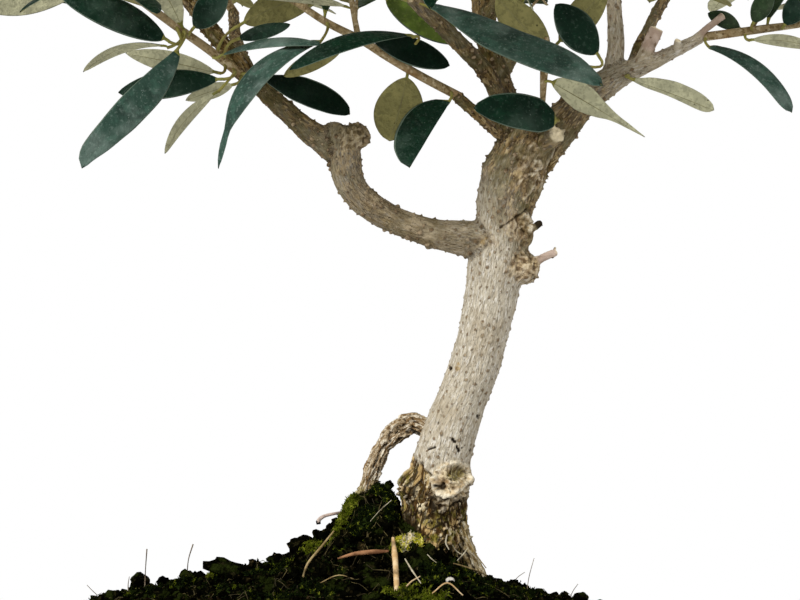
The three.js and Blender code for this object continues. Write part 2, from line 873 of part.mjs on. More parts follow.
const [trunk, ...limbs] = WOOD;
const sunk = ["trunk", "arched_root_leg", "surface_root"].map((name) => woodSolid(woodNamed(name), CLEAR));
sunk[0] = sunk[0].subtract(underground(GROUND - CLEAR));
bonsai.add(node("soil", sunk.reduce((soil, foot) => soil.subtract(foot), soilSolid()), EARTH));

bonsai.add(node(trunk.name, woodSolid(trunk).subtract(underground(GROUND)), trunk.finish));
for (const piece of limbs) bonsai.add(node(piece.name, cutLimb(piece), piece.finish));

const growths = MASSES.map(startMass);
growths.forEach(growStem);
growths.forEach((growth) => growShoots(growth, growths));
for (const growth of growths) bonsai.add(node(growth.mass.name, massSolid(growth), LEAVES));

export default bonsai;
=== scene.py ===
# %% [markdown]
# # An olive bonsai, dressed from its solids
# The solids of this part fix the plant's sizes: an oval pot, a mound of soil, a leaning trunk with its roots
# and boughs, and masses of leaves. This lesson gives each of them its looks: bark with real relief, leaves
# with a dark face and a pale one, peat with moss on it. Sizes are listed in millimetres and meshes are built
# in metres, both in the frame of the solids, so the numbers that the solids were built from place the pieces.

# %% Load the solids
import math
from collections import namedtuple

import bmesh
import bpy
import numpy as np
from mathutils import Matrix, Vector, noise
from mathutils.kdtree import KDTree


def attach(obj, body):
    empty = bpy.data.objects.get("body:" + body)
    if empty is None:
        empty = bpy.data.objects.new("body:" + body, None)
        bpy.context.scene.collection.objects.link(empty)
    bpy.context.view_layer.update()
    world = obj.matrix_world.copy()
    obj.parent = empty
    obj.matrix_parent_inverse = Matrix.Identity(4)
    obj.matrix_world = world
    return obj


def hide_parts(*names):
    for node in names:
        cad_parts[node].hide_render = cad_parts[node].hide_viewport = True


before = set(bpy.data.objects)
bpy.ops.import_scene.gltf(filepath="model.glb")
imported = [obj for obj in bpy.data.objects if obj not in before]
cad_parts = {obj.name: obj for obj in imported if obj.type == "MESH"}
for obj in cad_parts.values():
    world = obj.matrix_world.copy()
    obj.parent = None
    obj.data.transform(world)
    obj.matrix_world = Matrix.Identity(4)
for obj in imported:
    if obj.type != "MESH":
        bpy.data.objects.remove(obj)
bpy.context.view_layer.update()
MM = 0.001
scene = bpy.context.scene

# %% [markdown]
# ## Camera
# The photograph was taken level, at about half the plant's height, from about 70 centimetres away.
# A lens of 94.5 mm on a 36 mm sensor gives 2100 pixels of focal length in a frame 800 pixels wide, which
# is 3 pixels to a millimetre at the trunk.

# %% Camera
LENS = {"sensor": 36, "focal": 94.5}  # millimetres
EYE = (0.020, -0.700, 0.168)

camera = bpy.data.objects.new("camera", bpy.data.cameras.new("camera"))
camera.data.sensor_width = LENS["sensor"]
camera.data.lens = LENS["focal"]
camera.data.clip_start = 0.01
camera.location = EYE
camera.rotation_euler = (math.pi / 2, 0, 0)
scene.collection.objects.link(camera)
scene.camera = camera
print("camera at", tuple(camera.location))

# %% [markdown]
# ## Studio
# A white surround lights a plant softly from everywhere, and one broad light from the upper left gives the
# trunk its bright side. The world shows pure white to the camera and sends a weaker light to the plant, so
# the leaves keep their depth. The floor takes the plant's shadow close by and turns into plain light further
# out, as a sheet of paper swept up behind a plant does.

# %% Nodes, colours and meshes
def add_node(tree, kind, sockets=None, **settings):
    """Adds a shader node, with values or links for its sockets by name or number."""
    made = tree.nodes.new("ShaderNode" + kind)
    for name, value in settings.items():
        setattr(made, name, value)
    for name, value in (sockets or {}).items():
        if isinstance(value, bpy.types.NodeSocket):
            tree.links.new(value, made.inputs[name])
        else:
            made.inputs[name].default_value = value
    return made


def colour(red, green, blue):
    """A colour from the numbers of a screen, 0 to 255, as the linear values that a shader takes."""
    shares = [value / 255 for value in (red, green, blue)]
    linear = [share / 12.92 if share <= 0.04045 else ((share + 0.055) / 1.055) ** 2.4 for share in shares]
    return (*linear, 1)


def mesh_from(bm, name):
    """A new mesh of what has been built in a bmesh."""
    mesh = bpy.data.meshes.new(name)
    bm.to_mesh(mesh)
    bm.free()
    return mesh


# %% World and key light
AMBIENT = 0.62
KEY = {"from": (-0.62, -0.62, 0.62), "strength": 2.3, "angle": 35}
WHITE = (1, 1, 1, 1)

scene.view_settings.view_transform = "Standard"
scene.world = bpy.data.worlds.new("studio")
scene.world.use_nodes = True
tree = scene.world.node_tree
tree.nodes.clear()
seen = add_node(tree, "Background", {"Color": WHITE, "Strength": 1.0})
lit = add_node(tree, "Background", {"Color": WHITE, "Strength": AMBIENT})
rays = add_node(tree, "LightPath").outputs["Is Camera Ray"]
both = add_node(tree, "MixShader", {0: rays, 1: lit.outputs[0], 2: seen.outputs[0]})
add_node(tree, "OutputWorld", {"Surface": both.outputs[0]})

key = bpy.data.objects.new("key_light", bpy.data.lights.new("key_light", "SUN"))
key.data.energy = KEY["strength"]
key.data.angle = math.radians(KEY["angle"])
key.rotation_euler = Vector(KEY["from"]).to_track_quat("Z", "Y").to_euler()
scene.collection.objects.link(key)
print("world at", AMBIENT, "and key light at", KEY["strength"])

# %% Floor
FLOOR = {"half": 4.0, "drop": 0.0004, "shadow_to": 0.30, "light_from": 0.47}
PAPER = (0.86, 0.86, 0.86, 1)

bm = bmesh.new()
bmesh.ops.create_grid(bm, x_segments=1, y_segments=1, size=FLOOR["half"])
bmesh.ops.translate(bm, verts=bm.verts, vec=(0, 0, -FLOOR["drop"]))
floor = bpy.data.objects.new("floor", mesh_from(bm, "floor"))
scene.collection.objects.link(floor)

paper = bpy.data.materials.new("paper")
paper.use_nodes = True
tree = paper.node_tree
tree.nodes.clear()
place = add_node(tree, "TexCoord").outputs["Object"]
away = add_node(tree, "VectorMath", {0: place}, operation="LENGTH").outputs["Value"]
fade = add_node(tree, "MapRange", {0: away, 1: FLOOR["shadow_to"], 2: FLOOR["light_from"]})
matt = add_node(tree, "BsdfDiffuse", {"Color": PAPER})
glow = add_node(tree, "Emission", {"Color": WHITE, "Strength": 1.0})
both = add_node(tree, "MixShader", {0: fade.outputs[0], 1: matt.outputs[0], 2: glow.outputs[0]})
add_node(tree, "OutputMaterial", {"Surface": both.outputs[0]})
floor.data.materials.append(paper)
print("floor", 2 * FLOOR["half"], "m wide")

# %% [markdown]
# ## Shared tools
# Every piece is put on the plant's one body with its materials and named for the solids that it stands for.
# Materials share three effects as node groups: soft patches, small specks, and streaks that run along a limb.
# Colours are written as screen numbers, so that they can be compared with a picture.

# %% Pieces
def add_piece(name, mesh, nodes=(), materials=()):
    """Puts a finished mesh on the plant as a piece that stands for some of its solids."""
    for material in materials:
        mesh.materials.append(material)
    piece = bpy.data.objects.new(name, mesh)
    scene.collection.objects.link(piece)
    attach(piece, "root")
    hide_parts(*nodes)
    triangles = sum(len(polygon.vertices) - 2 for polygon in mesh.polygons)
    print(name, triangles, "triangles for", len(nodes), "solids")


def final_mesh(obj):
    """The mesh of an object with its modifiers applied; the object itself is removed."""
    bpy.context.view_layer.update()
    mesh = bpy.data.meshes.new_from_object(obj.evaluated_get(bpy.context.evaluated_depsgraph_get()))
    bpy.data.objects.remove(obj)
    return mesh


def rows_of(items, name):
    """A vector of every item of a mesh, such as its vertices, as an array of rows."""
    flat = np.zeros(len(items) * 3, np.float32)
    items.foreach_get(name, flat)
    return flat.reshape(-1, 3).astype(float)


def spots_of(mesh):
    """The vertices of a mesh, in millimetres."""
    return rows_of(mesh.vertices, "co") / MM


def normals_of(mesh):
    """The directions out of a mesh at its vertices."""
    return rows_of(mesh.vertex_normals, "vector")


def move_to(mesh, points):
    """Moves the vertices of a mesh to the given rows, in millimetres."""
    mesh.vertices.foreach_set("co", (points * MM).astype(np.float32).ravel())
    mesh.update()


def unit_rows(rows):
    """Rows of vectors, each made 1 long."""
    return rows / np.linalg.norm(rows, axis=1)[:, None]


def smoothstep(value, low, high):
    """0 at low, 1 at high, with a soft start and end; low may lie above high."""
    share = np.clip((value - low) / (high - low), 0, 1)
    return share * share * (3 - 2 * share)


# %% Noise over points
CELL_STEP = 7.31  # sets the numbers of neighbouring cells apart


def fractal(points, size, octaves=3):
    """Soft noise of about -1 to 1 at points in millimetres, with lumps of the given size."""
    rows = (np.asarray(points) / size).tolist()
    return np.fromiter((noise.fractal(row, 1.0, 2.0, octaves) for row in rows), float, len(rows))


def fractal_rows(points, size, offsets):
    """Soft noise in three directions at each point, as rows."""
    return np.column_stack([fractal(points + offset, size) for offset in offsets])


def cells(points, size):
    """A pattern of cells: how far each point is from its cell's edge, and a number for its cell, 0 to 1."""
    edge = np.zeros(len(points))
    number = np.zeros(len(points))
    for i, row in enumerate((np.asarray(points) / size).tolist()):
        distances, centres = noise.voronoi(row)
        edge[i] = distances[1] - distances[0]
        number[i] = noise.cell(centres[0] * CELL_STEP)
    return edge, number


# %% Node groups that several materials share
def new_group(name, inputs, outputs):
    """An empty shader node group with float or vector inputs and float outputs."""
    group = bpy.data.node_groups.new(name, "ShaderNodeTree")
    for socket, kind in inputs.items():
        group.interface.new_socket(socket, in_out="INPUT", socket_type="NodeSocket" + kind)
    for socket in outputs:
        group.interface.new_socket(socket, in_out="OUTPUT", socket_type="NodeSocketFloat")
    begin = group.nodes.new("NodeGroupInput")
    end = group.nodes.new("NodeGroupOutput")
    return group, begin.outputs, end.inputs


def soft_mask(group, value, low, high):
    """A mask that goes from 0 at one value to 1 at another, with a soft start and end."""
    limits = {0: value, 1: low, 2: high}
    return add_node(group, "MapRange", limits, interpolation_type="SMOOTHSTEP").outputs[0]


PATCHES, given, wanted = new_group(
    "patches", {"Vector": "Vector", "Scale": "Float", "Low": "Float", "High": "Float"}, ["Mask"]
)
sockets = {"Vector": given["Vector"], "Scale": given["Scale"], "Detail": 3.0, "Roughness": 0.55}
cloud = add_node(PATCHES, "TexNoise", sockets).outputs["Fac"]
PATCHES.links.new(soft_mask(PATCHES, cloud, given["Low"], given["High"]), wanted["Mask"])

# Each cell of the specks draws a lot: whether it has a dot at all, and how big that is.
SPECKS, given, wanted = new_group(
    "specks", {"Vector": "Vector", "Scale": "Float", "Size": "Float", "Share": "Float"}, ["Mask"]
)
dots = add_node(SPECKS, "TexVoronoi", {"Vector": given["Vector"], "Scale": given["Scale"]})
lots = add_node(SPECKS, "SeparateColor", {0: dots.outputs["Color"]}).outputs
shrink = add_node(SPECKS, "MapRange", {0: lots[0], 3: 0.45, 4: 1.0}).outputs[0]
full = add_node(SPECKS, "Math", {0: given["Size"], 1: shrink}, operation="MULTIPLY").outputs[0]
half = add_node(SPECKS, "Math", {0: full, 1: 0.6}, operation="MULTIPLY").outputs[0]
mask = soft_mask(SPECKS, dots.outputs["Distance"], full, half)
there = add_node(SPECKS, "Math", {0: lots[1], 1: given["Share"]}, operation="LESS_THAN").outputs[0]
mask = add_node(SPECKS, "Math", {0: mask, 1: there}, operation="MULTIPLY")
SPECKS.links.new(mask.outputs[0], wanted["Mask"])

# Streaks follow the limbs; where limbs meet, plain patches take their place.
STREAKS, given, wanted = new_group(
    "streaks",
    {"Rod": "Vector", "Place": "Vector", "Meet": "Float", "Scale": "Float", "Low": "Float", "High": "Float"},
    ["Mask"],
)
clouds = []
for way in ("Rod", "Place"):
    sockets = {"Vector": given[way], "Scale": given["Scale"], "Detail": 3.0}
    clouds.append(add_node(STREAKS, "TexNoise", sockets).outputs["Fac"])
blend = add_node(STREAKS, "Mix", {0: given["Meet"], 2: clouds[0], 3: clouds[1]}).outputs[0]
STREAKS.links.new(soft_mask(STREAKS, blend, given["Low"], given["High"]), wanted["Mask"])
print("groups:", PATCHES.name, SPECKS.name, STREAKS.name)


# %% A material under construction
def shade(value):
    """A link as it is, and screen numbers as the colour that a shader takes."""
    return value if isinstance(value, bpy.types.NodeSocket) else colour(*value)


def scaled(numbers, factor):
    """Screen numbers made lighter or darker."""
    return [factor * value for value in numbers]


class Finish:
    """A material whose base colour is built up in layers, each laid over the last through a mask."""

    def __init__(self, name, base, roughness, specular=0.25):
        self.material = bpy.data.materials.new(name)
        self.material.use_nodes = True
        self.tree = self.material.node_tree
        self.shader = self.tree.nodes["Principled BSDF"]
        self.shader.inputs["Roughness"].default_value = roughness
        self.shader.inputs["Specular IOR Level"].default_value = specular
        self.colour = base
        self.place = self.node("TexCoord", output="Object")

    def node(self, kind, sockets=None, output=0, **settings):
        """Adds a node to the material and gives one of its outputs."""
        return add_node(self.tree, kind, sockets, **settings).outputs[output]

    def vector(self, name):
        """Three numbers that the mesh holds at each vertex."""
        return self.node("Attribute", output="Vector", attribute_name=name)

    def split(self, vector, part):
        return self.node("SeparateXYZ", {0: vector}, part)

    def attribute(self, name, part):
        """One of the three numbers that the mesh holds at each vertex under a name."""
        return self.split(self.vector(name), part)

    def stretched(self, vector, scale):
        return self.node("Mapping", {"Vector": vector, "Scale": scale})

    def between(self, value, low, high):
        """A mask that is 0 at one value and 1 at another."""
        return self.node("MapRange", {0: value, 1: low, 2: high})

    def patches(self, scale, low, high):
        sockets = {"Vector": self.place, "Scale": scale, "Low": low, "High": high}
        return self.node("Group", sockets, node_tree=PATCHES)

    def specks(self, scale, size, share=1.0):
        sockets = {"Vector": self.place, "Scale": scale, "Size": size, "Share": share}
        return self.node("Group", sockets, node_tree=SPECKS)

    def streaks(self, scale, low, high, length):
        """Patches drawn out along the limbs of a mesh that holds the attributes rod and form."""
        rod = self.stretched(self.vector("rod"), (1.0, 1.0, 1 / length))
        sockets = {"Rod": rod, "Place": self.stretched(self.place, (1000.0, 1000.0, 1000.0))}
        sockets |= {"Meet": self.attribute("form", "Z"), "Scale": scale, "Low": low, "High": high}
        return self.node("Group", sockets, node_tree=STREAKS)

    def times(self, first, second):
        return self.node("Math", {0: first, 1: second}, operation="MULTIPLY")

    def mixed(self, mask, first, second):
        """One colour where the mask is 0 and another where it is 1."""
        return self.node("Mix", {0: mask, 6: shade(first), 7: shade(second)}, 2, data_type="RGBA")

    def two_tone(self, first, second, *streaks):
        """One colour with streaks of another."""
        return self.mixed(self.streaks(*streaks), first, second)

    def lay(self, over, mask, strength=1.0):
        """Lays a colour over what is there, where the mask shows."""
        factor = mask if strength == 1.0 else self.times(mask, strength)
        self.colour = self.mixed(factor, self.colour, over)

    def lay_patches(self, *layers):
        """Lays colours in patches: each is its colour, the patches' scale, low and high, and a strength."""
        for over, scale, low, high, strength in layers:
            self.lay(over, self.patches(scale, low, high), strength)

    def lay_streaks(self, *layers):
        """Lays colours in streaks: each is its colour, the streaks' four numbers, and a strength."""
        for over, *streaks, strength in layers:
            self.lay(over, self.streaks(*streaks), strength)

    def bump(self, height, distance):
        """Adds a fine relief to what relief there is."""
        sockets = {"Height": height, "Distance": distance}
        if self.shader.inputs["Normal"].links:
            sockets["Normal"] = self.shader.inputs["Normal"].links[0].from_socket
        self.tree.links.new(self.node("Bump", sockets), self.shader.inputs["Normal"])

    def rough(self, mask, low, high):
        """Lets the roughness follow a mask."""
        spread = self.node("MapRange", {0: mask, 3: low, 4: high})
        self.tree.links.new(spread, self.shader.inputs["Roughness"])

    def done(self):
        """The finished material."""
        if isinstance(self.colour, bpy.types.NodeSocket):
            self.tree.links.new(self.colour, self.shader.inputs["Base Color"])
        else:
            self.shader.inputs["Base Color"].default_value = shade(self.colour)
        return self.material


# %% [markdown]
# ## Limbs
# Each limb of the plant is a smooth curve through a few points, with its thickness spread along it. These
# are the same numbers that the solids were built from. A limb's first point lies inside its parent, so the
# tubes overlap where they fork, and a later step melts them into one skin.

# %% The limbs' points and radii, in millimetres
LIMBS = {
    "trunk": (
        [(30, 0, 74), (32, 0, 100), (36, 0, 122), (46, 0, 150), (53, 0, 184), (55.5, 0, 202), (63.5, 0, 223)],
        [13.4, 12.2, 10.4, 9.1, 8.4, 8.2, 8.5, 9.6, 9, 10.6, 9.2],
    ),
    "arched_root_top": (
        [(34, 6, 121), (25, 10, 126.4), (17.5, 9.5, 122.5), (13, 8, 116)],
        [3.4, 4.1, 4, 3.9],
    ),
    "arched_root_leg": ([(14.2, 8.3, 118), (9.3, 6.5, 107), (6.5, 5, 92)], [3.2, 3.6, 3.6, 3.5]),
    "surface_root": ([(40, -2, 92), (44, -4, 84), (47, -6, 76)], [3.4, 2.8, 1.4]),
    "left_bough_low": (
        [(52, 0, 187), (30, 0, 190.5), (16.5, 0, 195.5), (7.5, 0, 201.5)],
        [8.6, 5.4, 4.6, 4.5, 4.6],
    ),
    "left_bough_knee": ([(9, 0, 200.4), (3.2, 0, 207.5), (1.5, 0, 216), (1.5, 0, 222)], [3.6, 4.8, 5.6, 6]),
    "left_bough_high": (
        [(1, 0, 215.5), (-12, 1, 226), (-25, 2, 237.5), (-37, 5, 251), (-46, 9, 262), (-53, 12, 272)],
        [5.2, 5, 3.9, 3.6, 3.3, 3, 2.6],
    ),
    "left_bough_front": ([(-26, 2, 238.5), (-30, -4, 240.5), (-34, -9, 243.5)], [2.2, 2, 1.9]),
    "left_bough_rear": ([(-31, 3.5, 244), (-36, 22, 256), (-39, 42, 270)], [2.8, 2.4, 2]),
    "right_bough": (
        [(63, 1, 214), (81, 2, 234.5), (93, 3, 243), (104, 3, 247.5), (121, 3, 256)],
        [7.6, 5.9, 5, 4.3, 3],
    ),
    "right_bough_upright": ([(90, 3, 241), (92.5, 5, 252), (92, 9, 272)], [3.2, 2.8, 2.4]),
    "right_bough_rear": ([(97, 3, 245), (106, 20, 258), (113, 36, 274)], [2.8, 2.4, 2]),
    "centre_bough": ([(59, -1, 219), (50, -7, 240.5), (42, -15, 249), (24, -26, 265)], [4.4, 3.8, 3.3, 2.5]),
    "apex_bough": ([(61, 3, 217), (54, 7, 240), (48.5, 9, 262), (47, 9, 294)], [4.8, 4.2, 3.6, 2.8]),
    "front_bough": ([(49, 9, 262), (58, -12, 276), (64, -32, 290)], [2.7, 2.3, 2]),
    "crotch_shoot": ([(62, -5, 218), (64, -12, 226), (66.5, -15, 231)], [1.8, 1.6, 1.4]),
    "right_shoot": ([(96, 2, 244), (98.5, -5, 243.5), (102, -10, 243)], [1.6, 1.4, 1.2]),
    "back_bough": ([(61, 2, 210), (66, 24, 234), (64, 46, 262)], [3.8, 3.2, 2.5]),
    "fork_bough": ([(58, -2, 219), (46, -6, 229), (38, -9.6, 235.7)], [2.4, 2.1, 1.9]),
}
LUMPS = {
    "trunk": [(61, -2, 178.5, 5.6), (60, -3, 189.5, 4.4), (35.5, -7, 107, 6.2)],
    "left_bough_knee": [(5.5, -1, 222.5, 4.6), (-2, 0, 222.5, 4.9)],
}
# Pruned stubs: from, to, radius, and how they look now.
STUBS = [
    ((61, -3, 179), (72, -4, 184), 1.3, "bare"),
    ((60, -3, 190), (67, -4, 193.5), 1.2, "painted_hollow"),
    ((66, -3, 219), (71.4, -12, 222.6), 3.1, "fresh"),
    ((100, 2, 246), (105.6, -1, 258.4), 2.3, "bare"),
    ((114, 2, 252), (128, 1, 263), 1.2, "bare"),
    ((112, 2, 250.5), (112.6, -1, 254.6), 1.3, "fresh"),
]
print(len(LIMBS), "limbs,", len(STUBS), "stubs")


# %% Smooth curves
FINE_SHARES = np.linspace(0, 1, 201)


def catmull_rom(points, shares):
    """Points of a smooth curve through the given ones; whole steps of the share fall on the points."""
    points = np.asarray(points, float)
    guides = np.vstack([2 * points[0] - points[1], points, 2 * points[-1] - points[-2]])
    place = np.clip(np.asarray(shares, float), 0, 1) * (len(points) - 1)
    first = np.minimum(place.astype(int), len(points) - 2)
    part = (place - first)[:, None]
    before, here, there, after = (guides[first + i] for i in range(4))
    leave = (there - before) / 2
    reach = (after - here) / 2
    square = 3 * (there - here) - 2 * leave - reach
    cube = 2 * (here - there) + leave + reach
    return here + leave * part + square * part**2 + cube * part**3


def curve_length(points):
    """How far along the curve each of the fine shares lies."""
    line = catmull_rom(points, FINE_SHARES)
    return np.concatenate([[0], np.cumsum(np.linalg.norm(np.diff(line, axis=0), axis=1))])


def evenly(points, shares):
    """Points of the curve at equal shares of its length."""
    run = curve_length(points)
    return catmull_rom(points, np.interp(np.asarray(shares) * run[-1], run, FINE_SHARES))


def spread(values, shares):
    """Values of an evenly spread list at shares of its length."""
    return np.interp(shares, np.linspace(0, 1, len(values)), values)


def sampled(limb, spacing):
    """A limb's points and radii, about the given spacing apart."""
    points, radii = limb
    shares = np.linspace(0, 1, math.ceil(curve_length(points)[-1] / spacing) + 1)
    return evenly(points, shares), spread(radii, shares)


print("trunk is", round(curve_length(LIMBS["trunk"][0])[-1], 1), "mm long")


# %% [markdown]
# ## One skin of wood
# Trunk and boughs of a real tree flow into each other. A curve with a round bevel makes each limb a tube,
# and lumps are little balls. A voxel remesh then turns the overlapping tubes into one closed skin of even
# small faces, and a little smoothing melts the forks together. The faces at the foot of the trunk are split
# once more, because the bark is roughest there. The roots get a skin of their own, with an older bark.

# %% Tubes from lines
def tube_mesh(name, lines, sides):
    """Closed tubes along lines of (points, radii) in millimetres, as one mesh."""
    data = bpy.data.curves.new(name, "CURVE")
    data.dimensions = "3D"
    data.bevel_depth = MM
    data.bevel_resolution = sides // 2 - 2
    data.use_fill_caps = True
    for points, radii in lines:
        spline = data.splines.new("POLY")
        spline.points.add(len(points) - 1)
        places = np.column_stack([np.asarray(points) * MM, np.ones(len(points))])
        spline.points.foreach_set("co", places.ravel())
        spline.points.foreach_set("radius", np.asarray(radii, float))
    tubes = bpy.data.objects.new(name, data)
    scene.collection.objects.link(tubes)
    return final_mesh(tubes)


def skin_mesh(name, lines, lumps, voxel, smoothing):
    """One closed skin round tubes and lumps."""
    bm = bmesh.new()
    bm.from_mesh(tube_mesh(name, lines, sides=20))
    for x, y, z, radius in lumps:
        matrix = Matrix.Translation(Vector((x, y, z)) * MM)
        bmesh.ops.create_icosphere(bm, subdivisions=3, radius=radius * MM, matrix=matrix)
    rough = bpy.data.objects.new(name, mesh_from(bm, name))
    scene.collection.objects.link(rough)
    remesh = rough.modifiers.new("remesh", "REMESH")
    remesh.mode = "VOXEL"
    remesh.voxel_size = voxel * MM
    smooth = rough.modifiers.new("smooth", "SMOOTH")
    smooth.factor = 0.5
    smooth.iterations = smoothing
    return final_mesh(rough)


def finer_below(mesh, height):
    """Splits the faces below a height into four."""
    bm = bmesh.new()
    bm.from_mesh(mesh)
    edges = [edge for edge in bm.edges if max(vert.co.z for vert in edge.verts) < height * MM]
    bmesh.ops.subdivide_edges(bm, edges=edges, cuts=1, use_grid_fill=True)
    bm.to_mesh(mesh)
    bm.free()


# %% Skins of the wood and of the roots
VOXEL = {"wood": 0.5, "roots": 0.36}
SPACING = 2  # between the points that a limb is drawn or measured by
FINE_BELOW = 126
ROOTS = ("arched_root_top", "arched_root_leg", "surface_root")
# Limbs that are drawn slimmer than their solids, joined to the next one, or on a path of their own.
DRAWN = {
    "left_bough_low": (
        LIMBS["left_bough_low"][0] + LIMBS["left_bough_knee"][0][1:],
        [8.6, 6.2, 5.1, 4.7, 4.6, 4.7, 5.1, 5.5, 5.9],
    ),
    "left_bough_high": (LIMBS["left_bough_high"][0], [4.6, 4, 3.4, 3.2, 3, 2.8, 2.6]),
    "centre_bough": (LIMBS["centre_bough"][0], [3.7, 2.9, 2.7, 2.5]),
    "back_bough": ([(61, 2, 210), (53.5, 20, 235), (58, 36, 252), (64, 46, 262)], [3.4, 2.8, 2.6, 2.5]),
    "right_bough": (LIMBS["right_bough"][0], [7.6, 6.3, 4.8, 2.7, 1.9]),
    "right_bough_rear": ([(97, 3, 245), (103, 18, 257), (113, 36, 274)], [2.1, 1.9, 2]),
    "right_shoot": ([(95, 2, 243.6), (95.6, 0.6, 243), (96, -0.6, 242.6)], [1.2, 0.9, 0.7]),
    "crotch_shoot": (LIMBS["crotch_shoot"][0], [1.5, 1.1, 0.95]),
}
DRAWN_ROOTS = {
    "arched_root": (
        [(34, 6, 121), (25, 10, 126), (17.5, 9.5, 122), (12.6, 8, 115.5), (9, 6.5, 106), (6.5, 5, 92)],
        [3.4, 3.9, 3.8, 3.4, 3.1, 2.9, 3.1, 3.6],
    ),
    "surface_root": ([(40, -2, 93), (43, -4, 85.5), (47.4, -5, 76)], [3, 2.4, 1.9]),
}
EXTRA_LUMPS = [
    (42.8, -4.8, 108.2, 2.0),
    (27.2, 0, 104, 8.4),
    (26.8, 0, 95, 8.2),
    (1.6, -0.5, 221.4, 5.0),
]

wood_names = [name for name in LIMBS if name not in ROOTS]
drawn_limbs = {name: DRAWN.get(name, LIMBS[name]) for name in wood_names}
del drawn_limbs["left_bough_knee"]  # drawn as the end of the bough below it
wood_lines = [sampled(limb, SPACING) for limb in drawn_limbs.values()]
wood_lines += [(np.array([start, end], float), [1.1 * radius, radius]) for start, end, radius, _ in STUBS]
all_lumps = [lump for lumps in LUMPS.values() for lump in lumps] + EXTRA_LUMPS
wood_mesh = skin_mesh("wood", wood_lines, all_lumps, VOXEL["wood"], smoothing=8)
finer_below(wood_mesh, FINE_BELOW)
root_lines = [sampled(limb, SPACING) for limb in DRAWN_ROOTS.values()]
root_mesh = skin_mesh("roots", root_lines, [], VOXEL["roots"], smoothing=4)
for mesh in (wood_mesh, root_mesh):
    mesh.shade_smooth()
print(len(wood_mesh.polygons), "faces of wood,", len(root_mesh.polygons), "of root")


# %% [markdown]
# ## Along and around the limbs
# Bark follows the wood: its streaks run along a limb and its plates wrap round it. So each vertex is told
# where it lies on its limb, how far along and how far around, as if the limb were a straight rod. Noise that
# is read at these straightened places, and stretched along them, gives streaks that bend with the wood.

# %% Straightened places on the limbs
RUN_GAP = 61.7  # keeps the noise on one limb unlike that on the next
AT_ONCE = 3000  # points that are measured together


def limb_frames(limbs):
    """Arrays for points 1 mm apart along limbs: place, along, two ways across; radius, run, number, share."""
    vectors = []
    values = []
    for number, limb in enumerate(limbs):
        points, radii = sampled(limb, 1)
        along = unit_rows(np.gradient(points, axis=0))
        across = np.array([0.0, -1.0, 0.0])
        for i, (point, radius) in enumerate(zip(points, radii)):
            across = across - along[i] * (across @ along[i])
            across /= np.linalg.norm(across)
            vectors.append((point, along[i], across, np.cross(along[i], across)))
            values.append((radius, i + RUN_GAP * number, number, i / (len(points) - 1)))
    return np.array(vectors).transpose(1, 0, 2), np.array(values).T


def straightened(points, limbs):
    """Each point's place on a straight rod, two across and one along, its limb's number, share and angle."""
    (centres, along, across, beside), (radii, runs, numbers, shares) = limb_frames(limbs)
    best = []
    for some in np.array_split(points, len(points) // AT_ONCE + 1):
        square = (some**2).sum(axis=1)[:, None] - 2 * some @ centres.T + (centres**2).sum(axis=1)
        best.append((np.sqrt(np.maximum(square, 0)) - radii).argmin(axis=1))
    best = np.concatenate(best)
    off = points - centres[best]
    angles = np.arctan2((off * beside[best]).sum(axis=1), (off * across[best]).sum(axis=1))
    run = runs[best] + (off * along[best]).sum(axis=1)
    rods = np.column_stack([radii[best] * np.cos(angles), radii[best] * np.sin(angles), run])
    return rods, numbers[best].astype(int), shares[best], angles


wood = spots_of(wood_mesh)
wood_rods, wood_numbers, wood_shares, wood_angles = straightened(wood, list(drawn_limbs.values()))
print("straightened", len(wood), "points of wood")


# %% Neighbours and attributes
def edge_ends(mesh):
    """The numbers of the two vertices of every edge."""
    pairs = np.zeros(len(mesh.edges) * 2, np.int32)
    mesh.edges.foreach_get("vertices", pairs)
    return pairs.reshape(-1, 2).T


def blurred(mesh, values, rounds):
    """Values averaged with their neighbours' a few times."""
    one, two = edge_ends(mesh)
    count = np.bincount(one, minlength=len(values)) + np.bincount(two, minlength=len(values))
    for _ in range(rounds):
        total = np.bincount(one, values[two], len(values)) + np.bincount(two, values[one], len(values))
        values = (values + total) / (1 + count)
    return values


def keep_vector(mesh, name, *parts):
    """Stores three numbers at each vertex, for the material to read."""
    stored = mesh.attributes.new(name, "FLOAT_VECTOR", "POINT")
    stored.data.foreach_set("vector", np.column_stack(parts).astype(np.float32).ravel())


# %% [markdown]
# ## Relief of the bark
# Three kinds of bark meet on this tree. The lower trunk is smooth and pale, with fine streaks and many small
# brown warts, the pores that a tree breathes through. Higher up and on the boughs the bark is browner, with
# bigger warts in clusters and shallow folds. At the foot it is old and breaks into plates. Scars stand
# between them: a lip of healed wood round an old wound, a burl, and a crack. All of it is moved into the
# mesh, so that it shows on the outline too.

# %% Where each kind of bark lies
# Each list runs from a limb's foot to its tip; limbs that aren't named are brown all along.
BROWNNESS = {
    "left_bough_low": [0.5, 0.35, 0.4, 0.55, 0.6, 0.75],
    "left_bough_high": [0.8, 1, 1],
    "right_bough": [0.95, 0.8, 0.1, 0],
    "right_bough_upright": [0.15, 0.4],
    "centre_bough": [0.9, 0.9, 0.7],
}
SMOOTHNESS = {
    "left_bough_low": [0.3, 0.9, 1, 0.7, 0.3, 0.1],
    "right_bough": [0, 0.1, 0.4, 0.4],
    "right_bough_upright": [0.3, 0.3],
}
DARKNESS = {
    "left_bough_high": [0.5, 0.8, 0.7],
    "centre_bough": [0.5, 0.8, 0.6],
    "right_bough": [0.4, 0.4, 0, 0],
    "apex_bough": [0.4],
    "fork_bough": [0.2],
}


